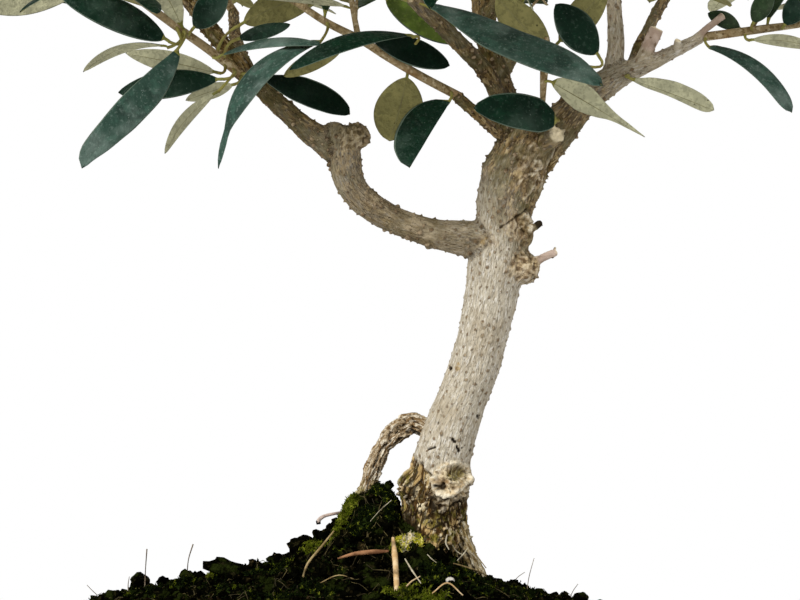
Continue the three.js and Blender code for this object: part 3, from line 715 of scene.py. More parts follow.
def by_limb(table, otherwise):
    """Values over the wood from lists that run along the limbs, softly joined where limbs meet."""
    values = otherwise.copy()
    for number, name in enumerate(drawn_limbs):
        if name in table:
            own = wood_numbers == number
            values[own] = spread(table[name], wood_shares[own])
    return blurred(wood_mesh, values, rounds=40)


x, _, z = wood.T
facing = normals_of(wood_mesh)
on_trunk = wood_numbers == 0
patchy = fractal(wood, 9)
upper_brown = 0.85 * smoothstep(z + 7 * patchy + 1.5 * (x - 56), 172, 212)
brown = np.clip(by_limb(BROWNNESS, np.where(on_trunk, upper_brown, 0.9)) + 0.12 * patchy, 0, 1)
calm = by_limb(SMOOTHNESS, np.zeros(len(wood)))
deep = by_limb(DARKNESS, np.zeros(len(wood)))
old_edge = 116 - 0.72 * (x - 24) + 2.2 * fractal(wood, 5)
old = np.where(on_trunk, smoothstep(z, old_edge + 0.8, old_edge - 0.8), 0)
print("old bark on", int((old > 0.5).sum()), "points")


# %% Warts, spaced apart over the wood
def scattered(points, allowed, spacing, seed):
    """Picks points at random that keep their spacing, which may differ from place to place."""
    order = np.random.default_rng(seed).permutation(np.flatnonzero(allowed))
    size = spacing.max()
    steps = [(a, b, c) for a in (-1, 0, 1) for b in (-1, 0, 1) for c in (-1, 0, 1)]
    taken = {}
    for i in order:
        cell = tuple((points[i] // size).astype(int))
        around = [(cell[0] + a, cell[1] + b, cell[2] + c) for a, b, c in steps]
        near = [j for spot in around for j in taken.get(spot, ())]
        if all(((points[i] - points[j]) ** 2).sum() > spacing[i] ** 2 for j in near):
            taken.setdefault(cell, []).append(i)
    return np.array([i for members in taken.values() for i in members])


def distance_to(points, chosen):
    """Distance from each point to the nearest chosen one, and which that is."""
    tree = KDTree(len(chosen))
    for i, point in enumerate(chosen):
        tree.insert(point, i)
    tree.balance()
    found = [tree.find(point) for point in points]
    return np.array([distance for _, _, distance in found]), np.array([i for _, i, _ in found])


clustered = smoothstep(fractal(wood, 6), -0.3, 0.25)
wart_spacing = (2.8 + 0.4 * calm - 0.3 * brown) * np.clip(1 + 0.5 * fractal(wood + 30, 4), 0.6, 1.6)
warts = scattered(wood, old < 0.5, wart_spacing, seed=11)
wart_away, wart_nearest = distance_to(wood, wood[warts])
wart_lots = np.random.default_rng(seed=12).uniform((0.5, 0), (1, 0.6), (len(warts), 2))
wart_size, faintness = wart_lots[wart_nearest].T
wart_size *= np.where(brown > 0.3, 0.45 + (0.7 + 0.3 * calm) * clustered, 0.9)
ragged = 1 + 0.5 * fractal(wood, 0.9, 2)
from_wart = np.minimum(wart_away * ragged / (0.75 * wart_size) + faintness, 3)
wart = np.exp(-(from_wart**4))
print(len(warts), "warts")


# %% Streaks and folds that run along the limbs
def limb_seam(mesh, numbers):
    """1 along the borders between limbs, where the straightened places jump, and 0 further off."""
    one, two = edge_ends(mesh)
    border = np.zeros(len(numbers))
    jumps = numbers[one] != numbers[two]
    border[one[jumps]] = border[two[jumps]] = 1
    return np.clip(4 * blurred(mesh, border, rounds=10), 0, 1)


def along_limbs(stretch, size, octaves=3):
    """Noise that is stretched along the limbs, and plain where limbs meet."""
    stretched = fractal(wood_rods * np.array([1, 1, stretch]), size, octaves)
    return stretched * (1 - seam) + fractal(wood, size, octaves) * seam


seam = limb_seam(wood_mesh, wood_numbers)
streak = along_limbs(0.16, 0.9, 2)
folds = along_limbs(0.45, 3.2)
crumple = along_limbs(0.6, 1.3)
print("limbs meet on", int((seam > 0.5).sum()), "points")

# %% Plates of the old bark: long ridges above, round lumps towards the ground
plates = np.zeros(len(wood))
gaps = np.zeros(len(wood))
aged = np.flatnonzero(old > 0.01)
lumpy = smoothstep(z[aged] + 3 * patchy[aged], 107, 99)[:, None]
stretch = np.hstack([np.ones((len(aged), 2)), 0.24 + 0.4 * lumpy]) / (2.4 + 1.7 * lumpy)
bent = 0.35 * fractal(wood[aged], 2.4)[:, None]
plate_edge, plate_number = cells(wood_rods[aged] * stretch + bent, 1)
plates[aged] = (0.3 + 1.9 * plate_number) * smoothstep(plate_edge, 0.02, 0.34 + 0.4 * lumpy[:, 0]) - 0.9
gaps[aged] = smoothstep(plate_edge, 0.24, 0.05) * old[aged]
print("plates on", len(aged), "points")

# %% Places of lips, folds, cracks and knots on the near side
# Each is its height, or its depth below zero, its half width, and its points (x, z).
LINES = [
    (1.6, 1.1, [(31.0, 108.4), (31.8, 105.8), (34.4, 104.2), (37.6, 105.0), (40.6, 107.0), (43.2, 108.6)]),
    (0.9, 0.8, [(31.0, 108.4), (32.0, 111.2), (34.6, 113.6), (38.0, 114.4)]),
    (0.6, 0.8, [(39.0, 114.4), (41.8, 113.0), (43.0, 110.4)]),
    (0.5, 0.8, [(33.6, 102.2), (36.8, 101.6), (40.2, 102.9), (42.6, 105.4)]),
    (0.6, 0.5, [(36.4, 108.6), (38.6, 108.0), (41.0, 109.6)]),
    (-1.3, 0.5, [(32.2, 103.9), (35.0, 102.8), (38.4, 103.6), (42.0, 106.4)]),
    (-0.8, 0.4, [(33.0, 100.6), (36.6, 100.2), (40.6, 101.4)]),
    (-0.9, 0.35, [(29.3, 118.6), (30.4, 119.3), (31.3, 119.5)]),
    (-0.7, 0.4, [(52.9, 191.9), (55.6, 193.4), (58.5, 195.3), (61.8, 197.8)]),
    (-0.6, 0.35, [(58.5, 194.4), (59.9, 192.2), (61.2, 190.9)]),
    (0.9, 0.9, [(61.5, 196.5), (63.2, 193.8), (63.2, 191.6)]),
    (0.6, 0.4, [(63.6, 212.0), (64.4, 213.8), (66.0, 213.6), (66.4, 211.8), (65.0, 210.9), (63.8, 211.6)]),
    (0.5, 0.35, [(59.1, 206.3), (61.5, 209.0), (65.0, 209.6), (66.1, 208.0)]),
    (0.5, 0.35, [(62.9, 218.6), (63.9, 219.6), (65.0, 218.8), (64.2, 217.4)]),
    (0.4, 0.35, [(66.4, 204.0), (67.4, 208.5), (68.6, 213.5), (71.0, 218.0)]),
    (0.4, 0.35, [(60.6, 201.4), (63.0, 203.4), (64.6, 206.4)]),
]
# Knotty wood, where the grain swirls: x, z, half sizes across and upward, and how strong it is.
KNOTS = [
    (61.6, 178.6, 6.4, 5.6, 0.9),
    (36.8, 106.2, 6.8, 6.6, 0.5),
    (60.0, 191.4, 6.0, 5.0, 0.6),
    (48.6, 187.6, 3.8, 3.0, 0.4),
    (62.6, 211.0, 6.6, 10.0, 0.3),
    (4.6, 221.5, 6.0, 5.0, 0.45),
    (11.0, 201.0, 4.0, 3.6, 0.3),
]
# Each is x, z, half sizes across and upward, and the depth.
DENTS = [
    (38.4, 111.0, 2.8, 2.1, 1.6),
    (33.8, 106.9, 1.8, 1.4, 2.0),
    (37.4, 122.1, 0.5, 0.6, 0.8),
    (38.2, 121.2, 0.6, 0.5, 0.9),
    (38.9, 119.7, 0.35, 0.6, 0.7),
    (39.6, 118.4, 0.55, 0.75, 0.9),
    (40.4, 119.2, 0.4, 0.3, 0.5),
    (43.6, 118.2, 0.4, 0.7, 0.7),
    (32.4, 127.5, 0.5, 0.5, 0.6),
    (36.7, 145.4, 0.6, 0.7, 0.6),
    (45.9, 129.4, 0.5, 0.5, 0.6),
]
WOUND = (37.2, 108.2, 6.4, 6.2)
MOSSY_DENT = (38.6, 110.8, 3.3, 2.6)
print(len(LINES), "lines,", len(KNOTS), "knots,", len(DENTS), "dents")


# %% Carve them
def from_spot(spot_x, spot_z, half_x=1, half_z=1):
    """How far the wood lies from a spot in the picture's plane, as a share of the spot's half sizes."""
    return np.hypot((x - spot_x) / half_x, (z - spot_z) / half_z)


def to_line(points, line):
    """Distance in the picture's plane from points to a line of corners."""
    flat = points[:, [0, 2]]
    best = np.full(len(points), 1e9)
    for start, end in zip(np.array(line[:-1], float), np.array(line[1:], float)):
        step = end - start
        share = np.clip(((flat - start) @ step) / (step @ step), 0, 1)
        best = np.minimum(best, np.linalg.norm(flat - start - share[:, None] * step, axis=1))
    return best


near_side = smoothstep(facing[:, 1], 0.25, -0.25)
wobble = 0.4 * fractal(wood, 1.5)
broken = smoothstep(fractal(wood + 60, 2.2), -0.4, 0.15)
knotty = np.zeros(len(wood))
for *spot, strength in KNOTS:
    away = from_spot(*spot) + wobble
    knotty = np.maximum(knotty, strength * smoothstep(away, 1.05, 0.7) * near_side)
swirl = wood + 2.2 * fractal_rows(wood, 4.5, (10, 20, 30))
ridge = 1 - np.clip(2.6 * np.abs(fractal(swirl, 5.5, 2)), 0, 1)
carved = knotty * (1.1 * ridge - 0.6)
# Raised places are coloured pale: partly the pale of healed wood, partly a painted highlight.
raised = 0.4 * knotty * smoothstep(ridge, 0.6, 0.9)
sunk = 0.35 * knotty * smoothstep(ridge, 0.1, 0) * broken
for height, width, line in LINES:
    mark = np.exp(-(((to_line(wood, line) + wobble) / width) ** 2)) * near_side
    carved += height * mark
    if height > 0:
        raised = np.maximum(raised, min(1, 1.2 * height) * mark)
    else:
        sunk = np.maximum(sunk, -height * mark)
for *spot, depth in DENTS:
    away = from_spot(*spot) * (1 + 1.5 * wobble)
    mark = np.exp(-(np.maximum(away, 0) ** 4)) * near_side
    carved -= depth * mark
    sunk = np.maximum(sunk, mark)
wound = np.exp(-(from_spot(*WOUND) ** 4)) * near_side * on_trunk
print("raised on", int((raised > 0.5).sum()), "points, sunk on", int((sunk > 0.5).sum()))

# %% Put the relief together and move the wood
swell = fractal(wood, 14)
flare = 1.9 * np.cos(3 * wood_angles) * smoothstep(z, 112, 84) * on_trunk
smooth_bark = 0.1 * streak + 0.06 * crumple + 0.5 * wart * wart_size
brown_bark = (1 - 0.6 * calm) * (0.55 * folds + 0.35 * crumple + 0.1 * streak) + 1.0 * wart * wart_size
plated_bark = plates + 0.35 * folds + 0.3 * crumple
young = (1 - brown) * smooth_bark + brown * brown_bark
aged_share = old * (1 - wound)
relief = (1 - aged_share) * young + aged_share * plated_bark + 0.45 * swell + flare
relief += carved + 0.35 * wound * crumple
thin = np.array([spread(limb[1], 0.6) for limb in drawn_limbs.values()])[wood_numbers]
relief *= np.clip(blurred(wood_mesh, thin, rounds=40) / 4.5, 0.5, 1)
move_to(wood_mesh, wood + facing * relief[:, None])
# Relief above its surroundings: the material paints shade where this is low and a highlight where it is high.
above = relief - blurred(wood_mesh, relief, rounds=14)
print("relief from", round(relief.min(), 2), "to", round(relief.max(), 2), "mm")

# %% Marks for the bark's colours
SCARS = [  # x, z and radius
    (47.3, 187.2, 0.9),
    (48.4, 188.4, 0.6),
    (39.1, 145.4, 0.9),
    (39.4, 146.9, 0.6),
    (49.6, 183.0, 0.5),
]

bare = np.zeros(len(wood))
fresh = np.zeros(len(wood))
painted_hollow = np.zeros(len(wood))
for start, end, radius, look in STUBS:
    axis = (np.array(end, float) - np.array(start)) / math.dist(start, end)
    depth = (wood - np.array(end)) @ axis
    aside = np.linalg.norm(wood - np.array(end) - depth[:, None] * axis, axis=1)
    on_stub = smoothstep(aside, 1.9 * radius, 1.5 * radius)
    cut = smoothstep(depth, -0.5, 0.1) * on_stub
    if look == "bare":
        length = math.dist(start, end)
        bare = np.maximum(bare, smoothstep(depth, -0.62 * length, -0.5 * length) * on_stub)
    # A stub that should look like a hole has its end painted near black: painted shade, not a real hole.
    if look == "painted_hollow":
        painted_hollow = np.maximum(painted_hollow, smoothstep(depth, -3.0, -1.5) * on_stub)
    else:
        fresh = np.maximum(fresh, cut)
scar = np.zeros(len(wood))
for *spot, radius in SCARS:
    away = from_spot(*spot) + 0.6 * wobble
    scar = np.maximum(scar, smoothstep(away, 1.15 * radius, 0.7 * radius) * near_side)
damp = smoothstep(z + 6 * fractal(wood, 8), 110, 90) * on_trunk
left_edge = smoothstep(x + 2 * patchy, 26, 21) * smoothstep(z, 120, 112) * on_trunk
moss = np.clip(damp + 0.8 * left_edge, 0, 1) * smoothstep(fractal(wood, 3), -0.05, 0.25)
mossy_dent = np.exp(-(from_spot(*MOSSY_DENT) ** 4)) * near_side
moss = np.maximum(moss, mossy_dent * on_trunk)
# Dark in carved lines, pits, knot troughs, plate gaps and painted holes: partly own colour, partly painted
# shade.
dark = np.clip(0.85 * sunk * (1 - mossy_dent) + painted_hollow + 0.9 * gaps * (1 - wound), 0, 1)
keep_vector(wood_mesh, "rod", *wood_rods.T)
keep_vector(wood_mesh, "kind", brown, aged_share, fresh)
keep_vector(wood_mesh, "mark", from_wart, dark, scar)
keep_vector(wood_mesh, "growth", moss, np.clip(raised, 0, 1), bare)
keep_vector(wood_mesh, "form", np.clip(0.5 + above / 1.1, 0, 1), knotty, seam)
keep_vector(wood_mesh, "shade", calm, deep, wound)
print("moss on", int((moss > 0.5).sum()), "points")

# %% [markdown]
# ## Bark material
# The colour is laid on in layers. Pale grey-beige with darker streaks and whitish flecks comes first, then
# the brown of the upper bark, a smoother skin on some boughs, and the tan plates of the old bark. Knotty
# wood, the wound, moss, the pale lips with a painted highlight on them, and the bare stubs follow. Then the
# relief gives painted light: painted shade where the bark sinks and round the warts, a painted highlight
# where it stands out, and the dark of each crack, pit and gap, partly its own colour and partly painted
# shade. The masks come from the same relief, so a brown dot sits on each wart.

# %% Bark of trunk and boughs
# Layers that a number at each vertex lets through: two colours, their streaks, that number, and the strength.
SCARRED = [
    ((198, 172, 128), (120, 90, 54), (0.8, 0.46, 0.58, 1), ("form", "Y"), 0.8),  # knotty wood
    ((232, 211, 170), (146, 113, 68), (0.5, 0.44, 0.58, 1), ("shade", "Z"), 0.85),  # the wound
    ((74, 74, 20), (140, 130, 50), (1.1, 0.42, 0.58, 1), ("growth", "X"), 0.75),  # moss
    # lips and whorls: pale healed wood, with a painted highlight on the raised places
    ((255, 246, 222), (222, 198, 156), (0.8, 0.45, 0.6, 1), ("growth", "Y"), 0.7),  # lips and whorls
    ((200, 178, 162), (170, 146, 128), (0.7, 0.45, 0.6, 5), ("growth", "Z"), 0.9),  # bare stubs
]

bark = Finish("bark", (206, 196, 175), roughness=0.9, specular=0.05)
bark.lay_streaks(
    ((166, 152, 128), 1.1, 0.48, 0.62, 5, 0.6),
    ((246, 241, 230), 1.5, 0.53, 0.63, 4, 0.6),
    ((122, 108, 86), 2.2, 0.58, 0.64, 3.5, 0.65),
    ((184, 168, 140), 0.1, 0.45, 0.65, 1, 0.5),
)
upper_skin = bark.two_tone((139, 113, 67), (80, 60, 27), 0.6, 0.45, 0.57, 2)
upper_skin = bark.two_tone(upper_skin, (182, 159, 112), 1.1, 0.55, 0.62, 3)
upper_skin = bark.two_tone(upper_skin, (52, 37, 17), 1.1, 0.55, 0.62, 2)
upper_skin = bark.mixed(bark.times(bark.streaks(0.13, 0.45, 0.57, 1), 0.75), upper_skin, (92, 86, 44))
bark.lay(upper_skin, bark.attribute("kind", "X"))
smooth_skin = bark.two_tone((110, 92, 54), (174, 157, 126), 0.2, 0.44, 0.57, 2)
bark.lay(smooth_skin, bark.attribute("shade", "X"), 0.62)
dark_boughs = bark.attribute("shade", "Y")
bark.lay((46, 40, 18), dark_boughs, 0.5)
plate_skin = bark.two_tone((194, 164, 110), (84, 60, 30), 0.8, 0.44, 0.54, 3)
plate_skin = bark.two_tone(plate_skin, (240, 222, 182), 0.6, 0.55, 0.63, 2)
plate_skin = bark.mixed(bark.times(bark.streaks(0.2, 0.47, 0.57, 2), 0.85), plate_skin, (54, 40, 18))
bark.lay(plate_skin, bark.attribute("kind", "Y"))
for first, second, streaks, number, strength in SCARRED:
    bark.lay(bark.two_tone(first, second, *streaks), bark.attribute(*number), strength)
scars = bark.attribute("mark", "Z")
bark.lay((176, 146, 92), scars, 0.7)
# Painted shade: darker where the bark sinks below its surroundings.
painted_shade_in_hollows = bark.between(bark.attribute("form", "X"), 0.5, 0.1)
bark.lay((56, 41, 20), painted_shade_in_hollows, 0.85)
# Painted highlight: paler where the bark stands out above its surroundings.
painted_highlight_on_ridges = bark.between(bark.attribute("form", "X"), 0.55, 0.95)
bark.lay((232, 218, 190), painted_highlight_on_ridges, 0.42)
wart_distance = bark.attribute("mark", "X")
# Painted shade: a dark ring round each wart, darker still on brown bark.
painted_shade_round_warts = bark.times(bark.between(wart_distance, 1.7, 1.2), bark.streaks(0.7, 0.4, 0.55, 1))
bark.lay((88, 71, 52), painted_shade_round_warts, 0.62)
bark.lay((50, 33, 17), bark.times(painted_shade_round_warts, bark.attribute("kind", "X")), 0.55)
wart_skin = bark.two_tone((126, 103, 74), (168, 148, 118), 0.4, 0.42, 0.58, 1)
bark.lay(wart_skin, bark.between(wart_distance, 1.2, 0.8), 0.8)
fresh_cuts = bark.attribute("kind", "Z")
bark.lay((255, 238, 200), fresh_cuts)
# The dark of each crack, pit and gap: partly its own colour, partly painted shade.
cracks_and_painted_shade = bark.between(bark.attribute("mark", "Y"), 0.3, 0.85)
bark.lay((30, 21, 10), cracks_and_painted_shade, 0.9)
bark.bump(bark.streaks(0.9, 0.3, 0.7, 2.5), 0.0004)
bark.bump(bark.streaks(1.8, 0.3, 0.7, 4), 0.00022)
print("bark has", len(bark.tree.nodes), "nodes")


# %% Cut the skin into pieces
# One piece may only hold so many faces, so the skin is cut across, and each cut is closed.
CUT = {"height": 140, "across": 27}


def cut_in_two(mesh, name, place, direction):
    """Closed meshes of what lies behind a plane and of what lies before it."""
    halves = []
    for side in (1, -1):
        bm = bmesh.new()
        bm.from_mesh(mesh)
        parts = [*bm.verts, *bm.edges, *bm.faces]
        normal = Vector(direction) * side
        bmesh.ops.bisect_plane(bm, geom=parts, plane_co=Vector(place) * MM, plane_no=normal, clear_outer=True)
        rim = [edge for edge in bm.edges if edge.is_boundary]
        bmesh.ops.holes_fill(bm, edges=rim, sides=0)
        for edge in rim:
            edge.smooth = False
        halves.append(mesh_from(bm, name))
    return halves


lower, upper = cut_in_two(wood_mesh, "wood", (0, 0, CUT["height"]), (0, 0, 1))
left, right = cut_in_two(upper, "wood", (CUT["across"], 0, 0), (1, 0, 0))
lefts = [name for name in wood_names if name.startswith("left_")]
others = [name for name in wood_names[1:] if name not in lefts]
bark_material = bark.done()
add_piece("wood_foot", lower, ["trunk"], [bark_material])
add_piece("wood_left", left, lefts, [bark_material])
add_piece("wood_right", right, others, [bark_material])

# %% [markdown]
# ## Roots
# The arched root on the left has been washed free of soil. Its bark is old: long tan flakes that lift at
# their edges, with painted shade between them and under the root, and green towards the ground. A second
# root runs down at the right.

# %% Relief and material of the roots
roots = spots_of(root_mesh)
root_rods, root_numbers, _, _ = straightened(roots, list(DRAWN_ROOTS.values()))
root_bend = 0.9 * fractal_rows(roots, 3, (0, 40, 80))
flake_edge, flake_number = cells(root_rods * np.array([1, 1, 0.3]) + root_bend, 2.5)
flakes = (0.1 + 1.3 * flake_number) * smoothstep(flake_edge, 0.01, 0.28) - 0.5
root_relief = flakes + 0.7 * fractal(roots, 6) + 0.3 * fractal(root_rods * np.array([1, 1, 0.4]), 1.2)
root_normals = normals_of(root_mesh)
move_to(root_mesh, roots + root_normals * root_relief[:, None])
# Painted shade: darker where the root sinks below its surroundings, and where it faces down.
painted_root_shade = (blurred(root_mesh, root_relief, rounds=8) - root_relief) / 0.4
painted_shade_below = smoothstep(root_normals[:, 2], 0, -0.7)
painted_root_shade = np.clip(painted_root_shade + 0.7 * painted_shade_below, 0, 1)
root_moss = smoothstep(roots[:, 2] + 5 * fractal(roots, 4), 109, 97) * np.where(root_numbers == 0, 1, 0.25)
keep_vector(root_mesh, "rod", *root_rods.T)
keep_vector(root_mesh, "form", root_moss, painted_root_shade, np.zeros(len(roots)))

old_bark = Finish("old_bark", (192, 172, 140), roughness=0.95, specular=0.05)
old_bark.lay_streaks(
    ((128, 100, 64), 1.0, 0.46, 0.56, 3, 0.9),
    ((238, 226, 202), 1.2, 0.52, 0.6, 3, 0.9),
    ((92, 68, 38), 2.0, 0.56, 0.64, 1, 0.7),
)
moss_tone = old_bark.two_tone((84, 92, 30), (168, 164, 84), 1.0, 0.42, 0.58, 1)
old_bark.lay(moss_tone, old_bark.attribute("form", "X"), 0.75)
# Painted shade between the flakes and under the root.
old_bark.lay((34, 23, 11), old_bark.between(old_bark.attribute("form", "Y"), 0.25, 0.85), 0.9)
old_bark.bump(old_bark.streaks(1.1, 0.3, 0.7, 3), 0.0006)
add_piece("roots", root_mesh, ROOTS, [old_bark.done()])

# %% [markdown]
# ## How the crown grows
# Each leafy mass grows from one stem at its bough's tip. The stem carries opposite pairs of leaves and of
# side shoots, turning a quarter from node to node as olive shoots do, and keeps to the space round the
# mass's centre. The rule and its seeded numbers are those of the solids, so every leaf falls where the solid
# has one. Leaves that hang free below the crown are listed one by one.

# %% Sizes of leaves and twigs, in millimetres
LEAF = {
    "length": 45, "width": 11.5, "spread": 55, "bow": 0.07, "belly": 0.5, "tries": 6, "keep_apart": 2.2,
    "keep_off": 5.6, "inside": 0.8, "off_wood": 1.4,
}
TWIG = {
    "internode": 12, "wander": 0.22, "fork": 52, "stem_radius": 1.7, "shoot_radius": 1.1, "stagger": 0.9,
    "inside": 2, "off_wood": 3,
}
CROWN = {"underside": 264, "rise": 0.138}  # higher towards the back

# A leaf that hangs free: where it starts and ends, its width, the way its upper face looks, the tones of both
# faces, how much it arches, where it is widest, and the name of its outline if that is out of the common.
FIELDS = "foot tip width facing tone under bow belly sides"
Shown = namedtuple("Shown", FIELDS, defaults=("olive", LEAF["bow"], LEAF["belly"], None))
Mass = namedtuple("Mass", "name bough heading nodes centre reach seed shown")

# %% Outlines of single leaves
# Half widths at even steps from foot to tip, left and right of the rib.
HOOKED = (0, 3.6, 4.9, 5.7, 6, 5.8, 5.2, 3.8, 1.7, 1.5, 0)
STRAP = (0, 2.3, 2.9, 3.4, 3.7, 3.9, 3.9, 3.8, 3.6, 3.1, 0)
OUTLINES = {
    "hooked": (HOOKED, HOOKED),
    "blunt": (
        (0, 3.5, 4.9, 5.9, 5.9, 5.5, 5, 4, 3, 1.5, 0),
        (0, 1.3, 2.4, 3.2, 4, 4.5, 4.7, 4.7, 4.7, 4.2, 0),
    ),
    "tapered": (
        (0, 2.3, 3.4, 4.1, 3.7, 2.9, 1.7, 1, 0.7, 0.4, 0),
        (0, 3.6, 4.9, 5.3, 4.7, 3.4, 2.3, 1.5, 1.1, 0.6, 0),
    ),
    "spoon": (
        (0, 1, 1.3, 1.3, 1.3, 1.4, 1.6, 1.8, 2, 1.9, 0),
        (0, 1.6, 2.9, 3.6, 4.2, 4.5, 4.4, 4.2, 3.7, 2.7, 0),
    ),
    "strap": (STRAP, STRAP),
    "long": (
        (0, 4.1, 5.8, 6.5, 6.9, 7.2, 8.2, 8.8, 8.2, 5.6, 0),
        (0, 1.5, 3.7, 5.8, 7.5, 7.8, 7.6, 6.9, 5.4, 3.3, 0),
    ),
    "full": (
        (0, 2.9, 4.3, 5.5, 6.3, 6.5, 6.5, 6.1, 5.3, 3.8, 0),
        (0, 1.3, 2.2, 3, 3.5, 3.6, 3.6, 3.3, 2.9, 2, 0),
    ),
    "round": (
        (0, 3.5, 4.7, 4.9, 4.8, 4.7, 4.4, 3.8, 3.1, 1.9, 0),
        (0, 4.8, 6.7, 7.2, 7.4, 7.3, 6.9, 6.2, 5.2, 3.3, 0),
    ),
    "folded": (
        (0, 0.5, 0.6, 0.6, 0.6, 0.6, 0.6, 0.6, 0.5, 0.4, 0),
        (0, 8.3, 10.4, 11.3, 11.6, 11.4, 11, 10, 8.6, 6, 0),
    ),
}
print(len(OUTLINES), "outlines")

# %% The masses, left to right
MASSES = [
    Mass("foliage_left_low", "left_bough_front", (-0.8, -0.2, 0.58), 5, (-68, -30, 262), 52, 8015, [
        Shown((-53.4, -24, 250.7), (-87.2, -34, 265.7), 12.5, (0.15, -0.9, 0.45), "dark"),
        Shown((-54.5, -20, 249.9), (-84.2, -10, 244.2), 8, (0, 0.14, 1), "dark", under="sage", bow=0.12),
        Shown((-38.6, -12, 242.2), (-70.7, -2, 250.4), 8, (0, 0.9, 0.45), "green", under="sage", bow=0.05),
        Shown((-51.3, -26, 248.6), (-78.7, -48, 209), 12, (0.3, -1, 0.2), "dusty", bow=0.02, sides="blunt"),
        Shown((-36.4, -17, 239.9), (-72.7, -10, 236.3), 10, (0, -0.95, 0.3), "dark"),
        Shown((-33.7, -12, 238.8), (-50.9, -4, 234.3), 5.5, (0, 0.9, 0.4), "green", under="sage"),
        Shown(
            (-38.4, -19, 236.1), (-56.3, -27, 215.4), 5.5, (-0.5, 0.6, 0.45), "green", under="sage", bow=0.12
        ),
        Shown((-39.9, -16, 246.8), (-5.1, -40, 249.7), 9, (0, -0.55, 0.85), "dusty"),
        Shown((-24.9, -16, 240.3), (3.8, -19, 228.3), 9.5, (0.1, -0.9, 0.4), "deep", bow=0.02, sides="full"),
        Shown((-33.5, -6, 258.6), (-5, 0, 272), 12, (0, 0.9, 0.4), "green", bow=0.05),
        Shown((-34.1, -12, 253.2), (-16.1, -10, 258.7), 7, (0, -0.8, 0.6), "dark", bow=0.05),
        Shown((-47.6, -18, 255.7), (-35.8, -26, 268.1), 10, (0.2, -0.9, 0.3), "dark"),
    ]),
    Mass("foliage_left_top", "left_bough_high", (-0.62, 0.15, 0.75), 5, (-84, 16, 300), 62, 2207, [
        Shown(
            (-81.4, -2, 272.4), (-119.8, -14, 265), 13, (0, 0.95, 0.3),
            "green", under="sage", bow=0.05, belly=0.55,
        ),
    ]),
    Mass("foliage_left_rear", "left_bough_rear", (-0.25, 0.75, 0.55), 5, (-32, 70, 298), 60, 3307, []),
    Mass("foliage_inner", "fork_bough", (-0.84, -0.13, 0.5), 6, (-2, -16, 268), 50, 1203, [
        Shown((22.6, -9, 243), (16.7, -17, 219.1), 16, (0.15, 1, 0.1), "green", bow=0.06, belly=0.52),
        Shown(
            (36.3, -15, 233.2), (22.9, -30, 210.4), 12, (-0.35, -0.9, 0.2), "dark", bow=0.02, sides="folded"
        ),
        Shown(
            (-5, -28, 251.2), (-36.7, -46, 209.1), 8.5, (-0.55, -0.7, 0.45), "dusty", bow=0.2, sides="hooked"
        ),
        Shown((25.2, -22, 253.2), (-14.3, -46, 240.9), 9, (0, -0.6, 0.8), "dark", bow=0.1),
        Shown((2.5, -30, 247.8), (-17, -36, 238.8), 6, (0.2, 0.9, 0.4), "green", bow=0.05),
        Shown((8.6, -17, 253.9), (36.2, -19, 244.5), 10.5, (0, -0.9, 0.4), "deep", bow=0.05, belly=0.55),
    ]),
    Mass("foliage_centre", "centre_bough", (-0.2, -0.65, 0.75), 5, (26, -54, 294), 56, 5503, [
        Shown(
            (27.7, -29, 262.3), (82.4, -54, 234.1), 11, (0.2, -0.75, 0.65), "dusty", bow=0.02, sides="long"
        ),
        Shown((13.4, -8, 268.2), (40.5, -6, 253.9), 13, (0, -0.9, 0.4), "young", bow=0.05),
    ]),
    Mass("foliage_apex", "apex_bough", (-0.05, 0.05, 1), 5, (40, 10, 334), 62, 6607, []),
    Mass("foliage_front", "front_bough", (0.35, -0.7, 0.6), 5, (80, -54, 308), 56, 7703, []),
    Mass("foliage_crotch", "crotch_shoot", (0.25, -0.15, 1), 2, (72, -16, 256), 30, 1511, [
        Shown((70.8, -20, 226), (43.6, -29, 229.3), 14.5, (0.1, -1, 0.2), "dark", bow=0.02, sides="round"),
        Shown(
            (69.3, -19, 238.7), (98.2, -30, 220), 10, (-0.1, 0.85, 0.45),
            "green", under="sage", bow=0.02, sides="tapered",
        ),
        Shown((85, -18, 246.6), (70.4, -22, 263.6), 14, (0.2, -0.9, 0.3), "dark", bow=0.05),
        Shown((69.8, -17, 247.7), (51.4, -20, 266.4), 12, (0, 0.9, 0.4), "green", bow=0.05),
        Shown((71, -13, 251.4), (87.8, -9, 271.3), 11, (0, 0.9, 0.4), "green", bow=0.05),
    ]),
    Mass("foliage_back", "back_bough", (0.05, 0.75, 0.65), 5, (58, 78, 304), 62, 8807, []),
    Mass("foliage_right_under", "right_shoot", (0.8, 0, -0.3), 1, (112, -16, 238), 44, 1613, [
        Shown(
            (96.4, -8, 240.8), (123.8, -6, 230.8), 9, (0, 0.85, 0.5),
            "green", under="sage", bow=0.02, sides="spoon",
        ),
    ]),
    Mass("foliage_right_low", "right_bough", (0.97, -0.08, 0.16), 4, (142, -8, 270), 50, 9083, [
        Shown(
            (122.5, -1, 252.5), (147.7, -16, 229.2), 7.5, (0.4, -0.8, 0.5), "dusty", bow=0.14, sides="strap"
        ),
        Shown((135.8, -1, 254.5), (156.8, -8, 251.4), 6, (0, 0.6, 0.8), "green", under="sage"),
        Shown((134.7, 4, 258.5), (123.4, 5, 264.4), 6.5, (0, -0.9, 0.4), "green", bow=0.05),
        Shown((137, -2, 259.4), (142.9, -6, 270.4), 7, (0.3, -0.9, 0.3), "green", bow=0.05),
        Shown((147.3, -2, 258.7), (154.2, -6, 269.8), 8, (0.2, -0.9, 0.3), "dark", bow=0.05),
    ]),
    Mass("foliage_right_top", "right_bough_upright", (0.2, -0.1, 1), 5, (108, -4, 318), 60, 1307, []),
    Mass("foliage_right_rear", "right_bough_rear", (0.4, 0.65, 0.65), 5, (128, 58, 302), 56, 1409, []),
]
